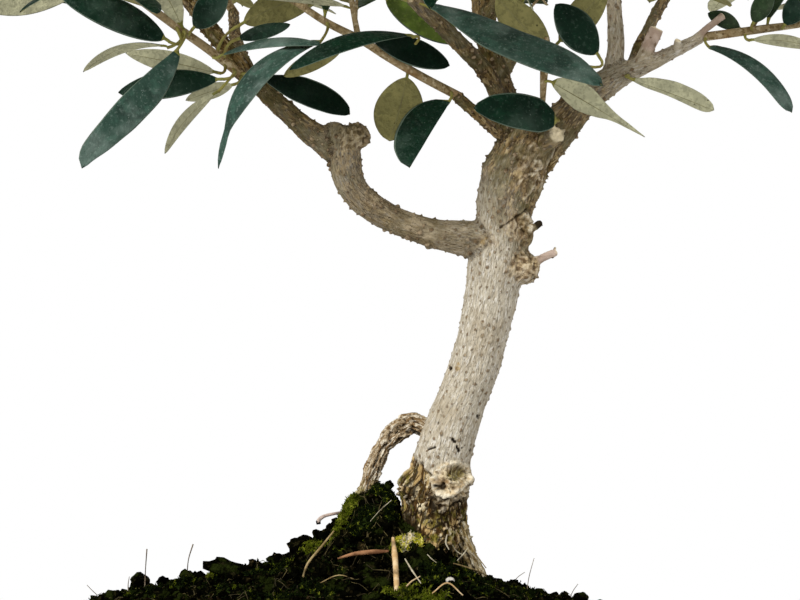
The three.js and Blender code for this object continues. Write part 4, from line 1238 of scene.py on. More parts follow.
print(len(MASSES), "masses show", sum(len(mass.shown) for mass in MASSES), "hanging leaves")

# %% Vectors and seeded numbers
UP = np.array([0.0, 0.0, 1.0])
FACTOR, PRIME = 48271, 2147483647


def unit(vector):
    """A vector made 1 long."""
    vector = np.asarray(vector, float)
    return vector / np.linalg.norm(vector)


def turned(vector, axis, degrees):
    """A vector turned about an axis of length 1."""
    angle = math.radians(degrees)
    cos, sin = math.cos(angle), math.sin(angle)
    return vector * cos + np.cross(axis, vector) * sin + axis * (axis @ vector) * (1 - cos)


def dice(seed):
    """Numbers from 0 to 1 that are the same on every run."""
    state = seed
    while True:
        state = state * FACTOR % PRIME
        yield state / PRIME


# %% Room for the leaves
limb_parts = []
for name, limb in LIMBS.items():
    points, radii = sampled(limb, SPACING)
    limb_parts += [(name, point, radius) for point, radius in zip(points, radii)]
    limb_parts += [(name, np.array(lump[:3], float), lump[3]) for lump in LUMPS.get(name, [])]
LIMB_NAMES = np.array([name for name, _, _ in limb_parts])
LIMB_SPOTS = np.array([point for _, point, _ in limb_parts])
LIMB_RADII = np.array([radius for _, _, radius in limb_parts])
CENTRES = np.array([mass.centre for mass in MASSES], float)
REACHES = np.array([mass.reach for mass in MASSES], float)


def clear_of_wood(points, margin, own_bough=None):
    """True where all points keep a margin from the limbs, apart from the own bough."""
    others = LIMB_NAMES != own_bough
    gaps = np.linalg.norm(points[:, None] - LIMB_SPOTS[others], axis=2) - LIMB_RADII[others]
    return gaps.min() > margin


def depth_in_space(number, points):
    """How far points lie inside the space of a mass, from the nearest border with another mass or the air."""
    power = ((points[:, None] - CENTRES) ** 2).sum(axis=2) - REACHES**2
    others = np.arange(len(MASSES)) != number
    between = np.linalg.norm(CENTRES[others] - CENTRES[number], axis=1)
    borders = (power[:, others] - power[:, [number]]) / (2 * between)
    to_air = REACHES[number] - np.linalg.norm(points - CENTRES[number], axis=1)
    return np.minimum(to_air, borders.min(axis=1))


print(len(limb_parts), "limb points to keep off")


# %% One leaf and one growing mass
class Leaf:
    """A blade: its foot, its size, the directions along, across and out of its upper face, and its colour."""

    def __init__(self, foot, along, length, width, facing, spray):
        self.foot = np.asarray(foot, float)
        self.along = unit(along)
        self.across = unit(np.cross(self.along, facing))
        self.face = np.cross(self.across, self.along)
        self.length = length
        self.width = width
        self.spray = spray
        self.look(None, None, LEAF["bow"], LEAF["belly"], None)

    def look(self, tone, under, bow, belly, sides):
        """Settles the tones of both faces, the arch, where the blade is widest, and an outline of its own."""
        self.tone = tone
        self.under = under
        self.bow = bow
        self.belly = belly
        self.sides = sides
        self.listed = tone is not None
        self.samples = self.places([0.2, 0.36, 0.52, 0.68, 0.84, 1], [-1, 0, 1])

    def places(self, shares, sides):
        """Points over the blade, at shares of its length and of its half width."""
        rows = []
        for share in shares:
            arch = self.bow * self.length * 4 * share * (1 - share)
            middle = self.foot + self.along * share * self.length + self.face * arch
            half = self.width / 2 * min(1, 4 * share * (1.1 - share))
            rows += [middle + self.across * side * half for side in sides]
        return np.array(rows)


class Growth:
    """One mass as it grows: its twigs and leaves so far."""

    def __init__(self, number, mass):
        self.number = number
        self.mass = mass
        self.roll = dice(mass.seed)
        self.twigs = []  # (points, radius at the foot)
        self.leaves = []


# %% Twigs
def under_crown(points):
    """True where any of the points lies below the crown's underside."""
    return (points[:, 2] < CROWN["underside"] + CROWN["rise"] * points[:, 1]).any()


def twig_line(growth, start, heading, nodes, wander):
    """A twig from node to node, cut short where it would leave the space or the crown, or touch wood."""
    is_stem = not growth.twigs
    own_bough = growth.mass.bough if is_stem else None
    line = [np.asarray(start, float)]
    direction = unit(heading)
    for _ in range(nodes):
        stray = np.array([next(growth.roll) - 0.5, next(growth.roll) - 0.5, 0.6 * next(growth.roll) - 0.2])
        direction = unit(direction + stray * 2 * wander)
        step = TWIG["internode"] * (0.85 + 0.3 * next(growth.roll))
        point = line[-1] + direction * step
        inside = depth_in_space(growth.number, point[None])[0] >= TWIG["inside"]
        if not inside or not clear_of_wood(point[None], TWIG["off_wood"], own_bough):
            break
        if not is_stem and under_crown(point[None]):
            break
        line.append(point)
    return line


def grow_stem(growth):
    """The stem, and the listed leaves."""
    mass = growth.mass
    stem = twig_line(growth, LIMBS[mass.bough][0][-1], mass.heading, mass.nodes, TWIG["wander"])
    growth.twigs.append((stem, TWIG["stem_radius"]))
    for shown in mass.shown:
        along = np.subtract(shown.tip, shown.foot)
        leaf = Leaf(shown.foot, along, np.linalg.norm(along), shown.width, shown.facing, 0)
        leaf.look(shown.tone, shown.under, shown.bow, shown.belly, OUTLINES.get(shown.sides))
        growth.leaves.append(leaf)


# %% Leaves that keep clear
def keeps_clear(growth, leaf, growths):
    """True where a leaf keeps to its space, above the crown's underside, off the wood and other leaves."""
    points = leaf.samples
    if depth_in_space(growth.number, points).min() < LEAF["inside"]:
        return False
    if under_crown(points) or not clear_of_wood(points, LEAF["off_wood"]):
        return False
    for other in growths:
        apart = LEAF["keep_apart"] if other is growth else LEAF["keep_off"]
        for old_leaf in other.leaves:
            if np.linalg.norm(old_leaf.foot - leaf.foot) > old_leaf.length + leaf.length + apart:
                continue
            if np.linalg.norm(points[:, None] - old_leaf.samples, axis=2).min() <= apart:
                return False
    return True


def tried_leaf(roll, foot, direction, side, size, spray):
    """A leaf beside a twig, at an angle and of a size that the dice give."""
    angle = math.radians(LEAF["spread"] + 24 * (next(roll) - 0.5))
    along = direction * math.cos(angle) + side * math.sin(angle) + UP * 0.5 * (next(roll) - 0.6)
    length = LEAF["length"] * size * (0.82 + 0.36 * next(roll))
    width = LEAF["width"] * math.sqrt(size) * (0.85 + 0.3 * next(roll))
    facing = turned(UP, unit(along), 60 * (next(roll) - 0.5))
    return Leaf(foot, along, length, width, facing, spray)


def add_leaf(growth, foot, direction, side, size, clear):
    """Tries a few leaves and keeps the first that is clear of everything."""
    for _ in range(LEAF["tries"]):
        leaf = tried_leaf(growth.roll, foot, direction, side, size, len(growth.twigs))
        if clear(growth, leaf):
            growth.leaves.append(leaf)
            return


# %% Leaves in pairs, and side shoots
def sides_at(line, i, turn):
    """Both sides of a twig at its node i: where each starts, the twig's direction, the way it points."""
    direction = unit(line[i] - line[i - 1])
    level = np.cross(direction, UP)
    level = np.array([1.0, 0.0, 0.0]) if level @ level < 1e-6 else unit(level)
    for hand in (-1, 1):
        start = line[i] + direction * hand * TWIG["stagger"]
        yield start, direction, turned(level, direction, turn + 90 * (i + hand))


def grow_shoots(growth, clear):
    """Side shoots in pairs at every other node of the stem, and leaves at the nodes between."""
    stem = growth.twigs[0][0]
    turn = 360 * next(growth.roll)
    fork = math.radians(TWIG["fork"])
    for i in range(1, len(stem)):
        for start, direction, side in sides_at(stem, i, turn):
            if i % 2 == 0:
                add_leaf(growth, start, direction, side, 1, clear)
                continue
            heading = direction * math.cos(fork) + side * math.sin(fork) + UP * 0.3
            nodes = 3 + int(2 * next(growth.roll))
            line = twig_line(growth, start, heading, nodes, 0)
            size = 1 - 0.12 * next(growth.roll)
            before = len(growth.leaves)
            for k in range(1, len(line)):
                for foot, way, beside in sides_at(line, k, turn):
                    add_leaf(growth, foot, way, beside, size, clear)
            if len(growth.leaves) > before:
                growth.twigs.append((line, TWIG["shoot_radius"]))


# %% Grow the crown that the solids have
growths = [Growth(number, mass) for number, mass in enumerate(MASSES)]
for growth in growths:
    grow_stem(growth)
for growth in growths:
    grow_shoots(growth, lambda own, leaf: keeps_clear(own, leaf, growths))
print({growth.mass.name: len(growth.leaves) for growth in growths})

# %% [markdown]
# ## Finer twigs
# The solids hold only as many leaves as a light model can. The same rule is now carried on to finer twigs:
# between the nodes of every stem and shoot, and at their tips, short side twigs with smaller leaves fill the
# same space. A set of small cells marks what is taken, which is quicker than measuring every distance.

# %% Carry the growth on
FINE = {
    "internode": 8.5, "size": 0.78, "radius": 0.65, "cell": 3.0, "inside": 0.3, "tip_inside": 1,
    "off_wood": 1.0,
}
DENSE = (np.linspace(0.12, 1, 11), np.linspace(-1, 1, 5))


def cells_of(leaf):
    """The small cells that a leaf takes up."""
    return {tuple(cell) for cell in (leaf.places(*DENSE) // FINE["cell"]).astype(int).tolist()}


taken = set()
for growth in growths:
    for leaf in growth.leaves:
        taken |= cells_of(leaf)


def fits_between(growth, leaf):
    """True where a finer leaf finds room, and then takes it."""
    points = leaf.samples
    if depth_in_space(growth.number, points).min() < FINE["inside"]:
        return False
    wanted_cells = cells_of(leaf)
    if wanted_cells & taken or under_crown(points) or not clear_of_wood(points, FINE["off_wood"]):
        return False
    taken.update(wanted_cells)
    return True


def fine_twig(growth, start, heading, turn):
    """A short side twig with pairs of smaller leaves, cut short where it would leave space or crown."""
    twig = [start]
    for _ in range(1 + int(2.4 * next(growth.roll))):
        tip = twig[-1] + heading * FINE["internode"] * (0.8 + 0.4 * next(growth.roll))
        if depth_in_space(growth.number, tip[None])[0] < FINE["tip_inside"] or under_crown(tip[None]):
            break
        twig.append(tip)
        for foot, way, beside in sides_at(twig, len(twig) - 1, turn):
            size = FINE["size"] * (0.75 + 0.4 * next(growth.roll))
            add_leaf(growth, foot, way, beside, size, fits_between)
    return twig


def grow_finer(growth):
    """Side twigs at the nodes of every twig, between them and at its tip, all with smaller leaves."""
    growth.roll = dice(growth.mass.seed + 7)
    for line, _ in list(growth.twigs):
        turn = 360 * next(growth.roll)
        fine_line = [line[0]]
        for start, end in zip(line[:-1], line[1:]):
            fine_line += [(start + end) / 2, end]
        for i in range(1, len(fine_line)):
            for start, direction, side in sides_at(fine_line, i, turn):
                heading = unit(direction * (0.5 + 0.5 * next(growth.roll)) + side + UP * 0.25)
                before = len(growth.leaves)
                twig = fine_twig(growth, start, heading, turn)
                if len(growth.leaves) > before:
                    growth.twigs.append((twig, FINE["radius"]))


for growth in growths:
    grow_finer(growth)
print(sum(len(growth.leaves) for growth in growths), "leaves on", sum(len(g.twigs) for g in growths), "twigs")

# %% [markdown]
# ## Twigs
# Twigs are tubes again, along smooth curves through the nodes, and thinner towards their tips. A stem starts
# nearly as thick as the bough that it grows from, a little inside it, so that no step shows.

# %% Twig tubes
def twig_tube(growth, number):
    """The points and radii of one twig of a mass."""
    line, radius = growth.twigs[number]
    points = np.array(line)
    first = radius
    if number == 0:
        first = drawn_limbs[growth.mass.bough][1][-1] * 0.8
        points[0] -= unit(points[1] - points[0]) * 2
    steps = 4 * (len(points) - 1) + 1 if number == 0 else 2 * (len(points) - 1) + 1
    shares = np.linspace(0, 1, steps)
    return catmull_rom(points, shares), spread([first, radius * 0.8, radius * 0.55], shares)


def tubes_together(name, *bundles):
    """Bundles of (lines, sides) as one mesh, with a material number for each bundle."""
    bm = bmesh.new()
    for number, (lines, sides) in enumerate(bundles):
        tubes = tube_mesh(name, lines, sides)
        tubes.polygons.foreach_set("material_index", np.full(len(tubes.polygons), number, np.int32))
        bm.from_mesh(tubes)
    mesh = mesh_from(bm, name)
    mesh.shade_smooth()
    return mesh


def stalk_tube(start, leaf):
    """A leaf's stalk: it leaves the stem and bends into the blade."""
    inside = leaf.foot + leaf.along * 0.03 * leaf.length
    bend = leaf.foot - leaf.along * 0.5 * np.linalg.norm(leaf.foot - start)
    share = np.linspace(0, 1, 9)[:, None]
    points = start * (1 - share) ** 2 + bend * 2 * share * (1 - share) + inside * share**2
    return points, spread([0.7, 0.5, 0.45, 0.55], share.ravel())


stems = []
side_twigs = []
stalks = []
for growth in growths:
    if len(growth.leaves) == 1:  # a shoot with one leaf ends in that leaf's stalk
        shoot_tip = np.array(DRAWN[growth.mass.bough][0][-1], float)
        stalks.append(stalk_tube(shoot_tip, growth.leaves[0]))
        continue
    stem = twig_tube(growth, 0)
    stems.append(stem)
    wooden = np.vstack([stem[0], sampled(drawn_limbs[growth.mass.bough], 1)[0]])
    side_twigs += [twig_tube(growth, number) for number in range(1, len(growth.twigs))]
    for leaf in growth.leaves:
        if leaf.listed:  # a hanging leaf grows from the nearest wood
            start = wooden[np.linalg.norm(wooden - leaf.foot, axis=1).argmin()]
            stalks.append(stalk_tube(start, leaf))
twig_mesh = tubes_together("twigs", (stems, 12), (side_twigs, 6), (stalks, 8))
print(len(stems), "stems,", len(side_twigs), "side twigs,", len(stalks), "stalks")

# %% Twig material
twig_finish = Finish("twig_bark", (158, 138, 102), roughness=0.85, specular=0.1)
twig_finish.lay_patches(
    ((112, 92, 56), 420, 0.5, 0.62, 0.8),
    ((198, 182, 148), 500, 0.54, 0.64, 0.8),
    ((168, 124, 80), 90, 0.52, 0.68, 0.3),
)
twig_finish.lay((92, 72, 46), twig_finish.specks(420, 0.24, share=0.5), 0.7)
twig_finish.bump(twig_finish.patches(700, 0.3, 0.7), 0.0003)
stalk_skin = Finish("leaf_stalk_skin", (146, 140, 72), roughness=0.6)
stalk_skin.lay_patches(((112, 96, 48), 240, 0.45, 0.65, 0.8))
twig_material = twig_finish.done()
add_piece("twigs", twig_mesh, materials=[twig_material, twig_material, stalk_skin.done()])

# %% [markdown]
# ## Leaves
# An olive leaf is a stiff narrow blade on a short stalk. Its upper face is dark, blue-green and dusty, with
# a thin groove along its rib; the underside is sage or olive, and there the rib stands out. Each leaf here is
# one closed shell of a hundred faces or more in the leaf's own outline, arched along its length and rolled
# down a little at its edges. Its points are worked out as arrays, and the shells of many leaves are joined
# into one mesh, because an operator for each of some hundred leaves would be slow.

# %% A leaf's outline and section
STALK = 0.07  # share of the length that is stalk
COLUMNS = np.array([-1, -0.93, -0.5, -0.03, 0.03, 0.5, 0.93, 1])
ROWS = {
    "crown": np.array([0, 0.06, 0.09, 0.16, 0.3, 0.5, 0.7, 0.86, 0.95, 1]),
    "listed": np.concatenate([[0, 0.035, 0.06, 0.075, 0.095, 0.125, 0.17], np.linspace(0.22, 1, 22)]),
}


def outline(share, belly, fullness):
    """Half width at a share of the length, as a share of the half width of the blade."""
    blade = np.clip((share - STALK) / (1 - STALK), 0, 1)
    return np.sin(np.pi * blade ** (math.log(0.5) / math.log(belly))) ** fullness


def half_widths(leaf, share, side, fullness):
    """Half widths over a blade, by the rule of its kind, or smoothly through the listed ones of each side."""
    if leaf.sides is None:
        half = outline(share, leaf.belly, fullness) * leaf.width / 2
    else:
        squares = np.column_stack([np.square(leaf.sides[0]), np.square(leaf.sides[1])])  # for round ends
        left, right = np.sqrt(np.maximum(catmull_rom(squares, share.ravel()), 0)).T[..., None]
        half = np.where(side < 0, left, right)
    return np.maximum(half, np.where(share < 0.5, 0.5, 0.12))


def blade_points(leaf, rows, roll):
    """The upper and the lower points of one leaf, each as rows by columns."""
    share = rows[:, None]
    side = COLUMNS[None, :]
    half = half_widths(leaf, share, side, 0.56 + 0.14 * next(roll))
    stalk = smoothstep(share, STALK + 0.03, STALK - 0.02)
    free = 1.0 if leaf.sides is None else 0.15
    sickle = free * leaf.length * 0.05 * (next(roll) - 0.5)
    twist = free * np.radians(26 * (next(roll) - 0.5)) * (share - 0.3)
    droop = free * leaf.length * 0.05 * next(roll)
    rolled = 0.06 + free * (0.04 + 0.14 * next(roll))
    thick = 0.34 * (1 - side**4) + stalk * 0.5
    arch = leaf.bow * leaf.length * 4 * share * (1 - share) - droop * share**3
    section = -rolled * half * np.abs(side) ** 2.2 - 0.22 * np.exp(-((side / 0.2) ** 2)) * (1 - stalk)
    lift = section * np.cos(twist) + side * half * np.sin(twist)
    aside = side * half * np.cos(twist) - section * np.sin(twist) + sickle * 4 * share * (1 - share)
    middle = leaf.foot + leaf.along * (share * leaf.length)[..., None]
    base = middle + leaf.across * aside[..., None] + leaf.face * (arch + lift)[..., None]
    keel = 0.3 * np.exp(-((side / 0.1) ** 2)) * (1 - stalk)
    upper = base + leaf.face * (thick / 2)[..., None]
    lower = base - leaf.face * (thick / 2 + keel * (1 - np.abs(side)))[..., None]
    return upper, lower


# %% Shells of leaves
TONES = ["deep", "dark", "green", "dusty", "young", "sage", "olive"]
EDGE, VEIN, STEM = range(len(TONES), len(TONES) + 3)


def mesh_of(name, points, faces, tones):
    """A mesh from rows of points in millimetres, faces, and a material number for each face."""
    mesh = bpy.data.meshes.new(name)
    mesh.from_pydata((points * MM).tolist(), [], faces.tolist())
    mesh.polygons.foreach_set("material_index", tones.astype(np.int32))
    return mesh


def shell_faces(count_rows):
    """Faces of one closed leaf shell over rows of points: the upper grid, then the lower inside its rim."""
    columns = len(COLUMNS)
    upper = np.arange(count_rows * columns).reshape(count_rows, columns)
    lower = upper.copy()
    inner = (count_rows - 2) * (columns - 2)
    lower[1:-1, 1:-1] = count_rows * columns + np.arange(inner).reshape(count_rows - 2, columns - 2)
    grids = []
    for grid, flipped in ((upper, False), (lower, True)):
        corners = [grid[:-1, :-1], grid[1:, :-1], grid[1:, 1:], grid[:-1, 1:]]
        faces = np.stack(corners[::-1] if flipped else corners, axis=2).reshape(-1, 4)
        grids.append(faces)
    return np.vstack(grids)


def face_tones(rows, top, under, stalk):
    """The material of each face of a shell."""
    cells_wide = len(COLUMNS) - 1
    grid = np.full((2, len(rows) - 1, cells_wide), top)
    grid[1] = under
    grid[0, :, [0, -1]] = EDGE
    grid[1, :, cells_wide // 2] = VEIN
    grid[:, rows[1:] <= stalk] = STEM
    return grid.ravel()


def leaf_mesh(name, leaves, seed):
    """All leaves of a list as one mesh of closed shells."""
    roll = dice(seed)
    spots = []
    faces = []
    tones = []
    total = 0
    for leaf in leaves:
        rows = ROWS["listed" if leaf.listed else "crown"]
        upper, lower = blade_points(leaf, rows, roll)
        rim = (upper + lower) / 2
        upper[:, [0, -1]] = rim[:, [0, -1]]
        upper[[0, -1]] = rim[[0, -1]]
        points = np.vstack([upper.reshape(-1, 3), lower[1:-1, 1:-1].reshape(-1, 3)])
        spots.append(points)
        faces.append(shell_faces(len(rows)) + total)
        stalk = STALK + 0.03 if leaf.sides is None else 0.04
        tones.append(face_tones(rows, TONES.index(leaf.tone), TONES.index(leaf.under), stalk))
        total += len(points)
    mesh = mesh_of(name, np.vstack(spots), np.vstack(faces), np.concatenate(tones))
    mesh.shade_smooth()
    return mesh


# %% Tones of the crown's leaves, dealt out by spray
SHARES = {"dark": 0.42, "green": 0.3, "dusty": 0.22, "young": 0.06}

for growth in growths:
    roll = dice(growth.mass.seed + 29)
    spray_tone = {}
    for leaf in growth.leaves:
        if leaf.spray not in spray_tone:
            dealt = int(np.searchsorted(np.cumsum(list(SHARES.values())), next(roll)))
            spray_tone[leaf.spray] = (list(SHARES)[dealt], "sage" if next(roll) < 0.6 else "olive")
        if not leaf.listed:
            leaf.tone, leaf.under = spray_tone[leaf.spray]
print({tone: sum(leaf.tone == tone for growth in growths for leaf in growth.leaves) for tone in SHARES})


# %% Leaf materials
def leaf_finish(name, base, dust, dusty, roughness, specular):
    """The upper face of a leaf: a plain colour with a bloom of pale dust in soft smears and fine specks."""
    made = Finish(name, base, roughness, specular)
    made.lay_patches(
        (scaled(base, 0.65), 90, 0.45, 0.66, 0.6),
        (scaled(base, 1.35), 320, 0.5, 0.66, 0.5),
        (dust, 75, 0.46, 0.74, dusty),
        (dust, 900, 0.55, 0.66, 0.6 * dusty),
    )
    made.lay((200, 208, 198), made.specks(1500, 0.26, share=0.15), 0.7 * dusty)
    made.rough(made.patches(230, 0.35, 0.65), roughness - 0.08, roughness + 0.14)
    made.bump(made.patches(600, 0.3, 0.7), 0.00016)
    return made.done()


def underside_finish(name, base, fleck):
    """The lower face of a leaf: matt felt, with a few dark flecks."""
    made = Finish(name, base, 0.8, 0.05)
    made.lay_patches((scaled(base, 1.14), 200, 0.45, 0.6, 0.7), (scaled(base, 0.82), 700, 0.5, 0.62, 0.6))
    made.lay(fleck, made.specks(260, 0.14, share=0.4), 0.85)
    made.bump(made.patches(700, 0.3, 0.7), 0.00014)
    return made.done()


def stalk_finish(name, base):
    """Edge, rib or stalk of a leaf."""
    made = Finish(name, base, 0.6)
    made.lay_patches((scaled(base, 0.75), 300, 0.45, 0.65, 0.7))
    return made.done()


LEAF_MATERIALS = [
    leaf_finish("leaf_deep", (8, 24, 15), (70, 88, 74), 0.06, 0.42, 0.06),
    leaf_finish("leaf_dark", (13, 38, 25), (96, 116, 102), 0.24, 0.42, 0.08),
    leaf_finish("leaf_green", (42, 60, 36), (116, 126, 102), 0.2, 0.48, 0.1),
    leaf_finish("leaf_dusty", (47, 71, 60), (134, 150, 140), 0.4, 0.5, 0.12),
    leaf_finish("leaf_young", (86, 106, 36), (146, 156, 88), 0.25, 0.45, 0.2),
    underside_finish("leaf_under_sage", (176, 174, 142), (70, 66, 40)),
    underside_finish("leaf_under_olive", (128, 123, 78), (52, 48, 26)),
    stalk_finish("leaf_edge", (92, 108, 92)),
    stalk_finish("leaf_vein", (124, 119, 76)),
    stalk_finish("leaf_stalk", (138, 136, 66)),
]
print(len(LEAF_MATERIALS), "leaf materials")

# %% Leaves in three pieces
GROUPS = {
    "leaves_left": ("foliage_left_low", "foliage_left_top", "foliage_left_rear", "foliage_inner"),
    "leaves_middle": ("foliage_centre", "foliage_apex", "foliage_front", "foliage_crotch", "foliage_back"),
    "leaves_right": ("foliage_right_under", "foliage_right_low", "foliage_right_top", "foliage_right_rear"),
}

for seed, (name, masses) in enumerate(GROUPS.items(), start=501):
    leaves = [leaf for growth in growths if growth.mass.name in masses for leaf in growth.leaves]
    add_piece(name, leaf_mesh(name, leaves, seed), masses, LEAF_MATERIALS)

# %% [markdown]
# ## Pot
# The pot is plain unglazed stoneware: an oval bowl with a low foot and a banded rim. Its section is drawn
# once as a chain of edges and spun round, then squeezed to an oval. Bevels soften the rings at its corners,
# as a potter's wet sponge does. The clay is warm brown with fine dark specks, paler where hands have worn
# the rim, and whitish near the foot, where hard water has dried.

# %% Spun profiles
OVAL = 176 / 240  # depth of the pot as a share of its length


def spun(profile, steps):
    """A closed body from a profile of (radius, height) that starts and ends on the axis, still round."""
    bm = bmesh.new()
    chain = [bm.verts.new((radius * MM, 0, height * MM)) for radius, height in profile]
    edges = [bm.edges.new(pair) for pair in zip(chain[:-1], chain[1:])]
    bmesh.ops.spin(
        bm, geom=chain + edges, cent=(0, 0, 0), axis=(0, 0, 1), angle=2 * math.pi, steps=steps, use_merge=True
    )
    bmesh.ops.remove_doubles(bm, verts=bm.verts, dist=1e-6)
    bmesh.ops.recalc_face_normals(bm, faces=bm.faces)
    return bm


def oval_mesh(bm, name):
    """A spun body squeezed to the pot's oval, as a smooth mesh."""
    bmesh.ops.scale(bm, verts=bm.verts, vec=(1, OVAL, 1))
    mesh = mesh_from(bm, name)
    mesh.shade_smooth()
    return mesh


def corner_rings(bm, degrees):
    """The edges that run round a spun body where its profile turns sharply."""
    rings = []
    for edge in bm.edges:
        one, two = edge.verts
        level = abs(one.co.z - two.co.z) < 1e-6
        same = abs(one.co.xy.length - two.co.xy.length) < 1e-5
        if level and same and math.degrees(edge.calc_face_angle(0)) > degrees:
            rings.append(edge)
    return rings


# %% Pot
POT_PROFILE = [
    (0, 0), (96, 0), (96, 6), (108.5, 6), (110, 9), (112.6, 20), (114.7, 30), (116.2, 41), (117, 51),
    (120, 51), (120, 58.5), (118.5, 60), (113, 60), (110, 51), (103, 12), (100, 9), (0, 9),
]
CORNER = {"from_degrees": 14, "bevel": 0.9, "segments": 3}

bm = spun(POT_PROFILE, steps=160)
rings = corner_rings(bm, CORNER["from_degrees"])
bevel = {"offset": CORNER["bevel"] * MM, "segments": CORNER["segments"], "profile": 0.5}
bmesh.ops.bevel(bm, geom=rings, affect="EDGES", material=-1, **bevel)
pot_mesh = oval_mesh(bm, "pot")
pot_spots = spots_of(pot_mesh)
around = pot_spots * np.array([1, 1 / OVAL, 1])
throwing = 0.22 * fractal(np.column_stack([0.02 * around[:, :2], pot_spots[:, 2]]), 2.2)
uneven = 0.35 * fractal(pot_spots, 45)
pushed = normals_of(pot_mesh) * (throwing + uneven)[:, None] * smoothstep(pot_spots[:, 2:], 1, 5)
move_to(pot_mesh, pot_spots + pushed)
print(len(rings), "edges bevelled")

# %% Stoneware
clay = Finish("stoneware", (104, 78, 60), roughness=0.75, specular=0.3)
above_ground = clay.split(clay.place, "Z")
clay.lay_patches(((78, 56, 44), 38, 0.42, 0.66, 1.0), ((132, 100, 76), 60, 0.5, 0.72, 0.6))
clay.lay((46, 34, 28), clay.specks(900, 0.2), 0.7)
clay.lay((150, 122, 98), clay.between(above_ground, 0.056, 0.0605), 0.45)
bloom = clay.times(clay.between(above_ground, 0.022, 0.004), clay.patches(55, 0.4, 0.62))
clay.lay((176, 166, 150), bloom, 0.6)
clay.rough(clay.patches(120, 0.35, 0.65), 0.62, 0.86)
clay.bump(clay.patches(800, 0.3, 0.7), 0.00025)
add_piece("pot", pot_mesh, ["pot"], [clay.done()])

# %% [markdown]
# ## Soil
# The soil is heaped up to the roots: nearly black peat, damp and crumbly, with moss on the clods. Its body is
# a spun profile that fills the pot, and its top is lifted to the mound's height with lumps of three sizes.
# The same height function then tells where clods, crumbs, moss and litter come to lie.

# %% Height of the soil, in millimetres
SOIL = {"edge": 56, "swell": 17, "fall": 0.8, "inner": 110, "strewn": 0.94}
# Each heap is x, y, height, and its reach to the left, to the right and in depth.
HEAPS = [(12.5, 6, 32.5, 18, 11.5, 16), (31, -7, 15, 7, 7, 9), (72, 5, -2, 22, 22, 40)]


def soil_height(x, y):
    """Height of the rough soil at places x, y."""
    share = np.hypot(x, y / OVAL) / SOIL["inner"]
    inside = np.maximum(0, 1 - share**2)
    fade = np.minimum(1, 3 * inside)
    heaped = 1.3 * np.sin(0.31 * x + 0.17 * y) * np.cos(0.37 * y - 0.11 * x)
    for heap_x, heap_y, height, left, right, deep in HEAPS:
        aside = (x - heap_x) / np.where(x < heap_x, left, right)
        heaped = heaped + height / (1 + aside**2 + ((y - heap_y) / deep) ** 2)
    flat = np.column_stack([x, y, np.zeros(len(x))])
    lumps = 1.7 * fractal(flat, 9) + 1.2 * fractal(flat + 50, 3.2) + 0.6 * fractal(flat + 90, 1.3)
    return SOIL["edge"] + SOIL["swell"] * inside ** SOIL["fall"] + (heaped + lumps) * fade


def in_disc(roll, count):
    """Random places in a disc: their distances from its middle, 0 to 1, and their angles."""
    return np.sqrt(roll.random(count)), 2 * np.pi * roll.random(count)


def soil_places(count, seed):
    """Random places all over the soil, as rows of x, y, z."""
    share, angle = in_disc(np.random.default_rng(seed), count)
    radius = SOIL["inner"] * SOIL["strewn"] * share
    x, y = radius * np.cos(angle), radius * np.sin(angle) * OVAL
    return np.column_stack([x, y, soil_height(x, y)])


# %% Body of the soil
RINGS = 150
SECTORS = 420
filling = [(0, 9.3), (99.4, 9.3), (102.4, 12.3), (109.4, 51.3)]
top = [(109.4 * (1 - ring / RINGS), SOIL["edge"]) for ring in range(RINGS + 1)]
soil_mesh = oval_mesh(spun(filling + top, SECTORS), "soil")
ground = spots_of(soil_mesh)
on_top = ground[:, 2] > SOIL["edge"] - 0.01
ground[on_top, 2] = soil_height(ground[on_top, 0], ground[on_top, 1])
move_to(soil_mesh, ground)


def peat_finish(name, base, light):
    """Damp peat: nearly black, with lighter crumbs and a breath of green."""
    made = Finish(name, base, roughness=1.0, specular=0.0)
    made.lay_patches(
        (light, 520, 0.54, 0.62, 0.9),
        ((2, 2, 1), 300, 0.46, 0.56, 0.9),
        ((42, 50, 17), 150, 0.53, 0.63, 0.7),
    )
    made.lay((112, 100, 70), made.specks(650, 0.2, share=0.25), 0.6)
    made.bump(made.patches(450, 0.3, 0.7), 0.0012)
    return made.done()


PEAT = peat_finish("peat", (8, 8, 4), (40, 37, 19))
add_piece("soil", soil_mesh, ["soil"], [PEAT])


# %% [markdown]
# ## Clods and crumbs
# Peat breaks into clods, and a few big ones stand out along the mound's edge. Each clod is a ball of small
# faces, pushed in and out by noise. Crumbs are far smaller and far more, so they are all worked out together
# from one ball of twenty faces, turned, stretched and dented at random.

# %% Copies of one small shape
def ball(subdivisions):
    """The points and faces of a ball of radius 1."""
    bm = bmesh.new()
    bmesh.ops.create_icosphere(bm, subdivisions=subdivisions, radius=1)
    points = np.array([vert.co for vert in bm.verts])
    faces = np.array([[vert.index for vert in face.verts] for face in bm.faces])
    bm.free()
    return points, faces


def random_turns(roll, count):
    """Turning matrices in random directions."""
    first = unit_rows(roll.normal(size=(count, 3)))
    second = unit_rows(np.cross(first, roll.normal(size=(count, 3))))
    return np.stack([first, second, np.cross(first, second)], axis=2)


def joined_mesh(name, points, faces, tones, smooth=True):
    """One mesh from copies: points by copy, the faces of one copy, and a material number for each copy."""
    copies, count, _ = points.shape
    all_faces = (faces[None] + count * np.arange(copies)[:, None, None]).reshape(-1, faces.shape[1])
    mesh = mesh_of(name, points.reshape(-1, 3), all_faces, np.repeat(tones, len(faces)))
    if smooth:
        mesh.shade_smooth()
    return mesh


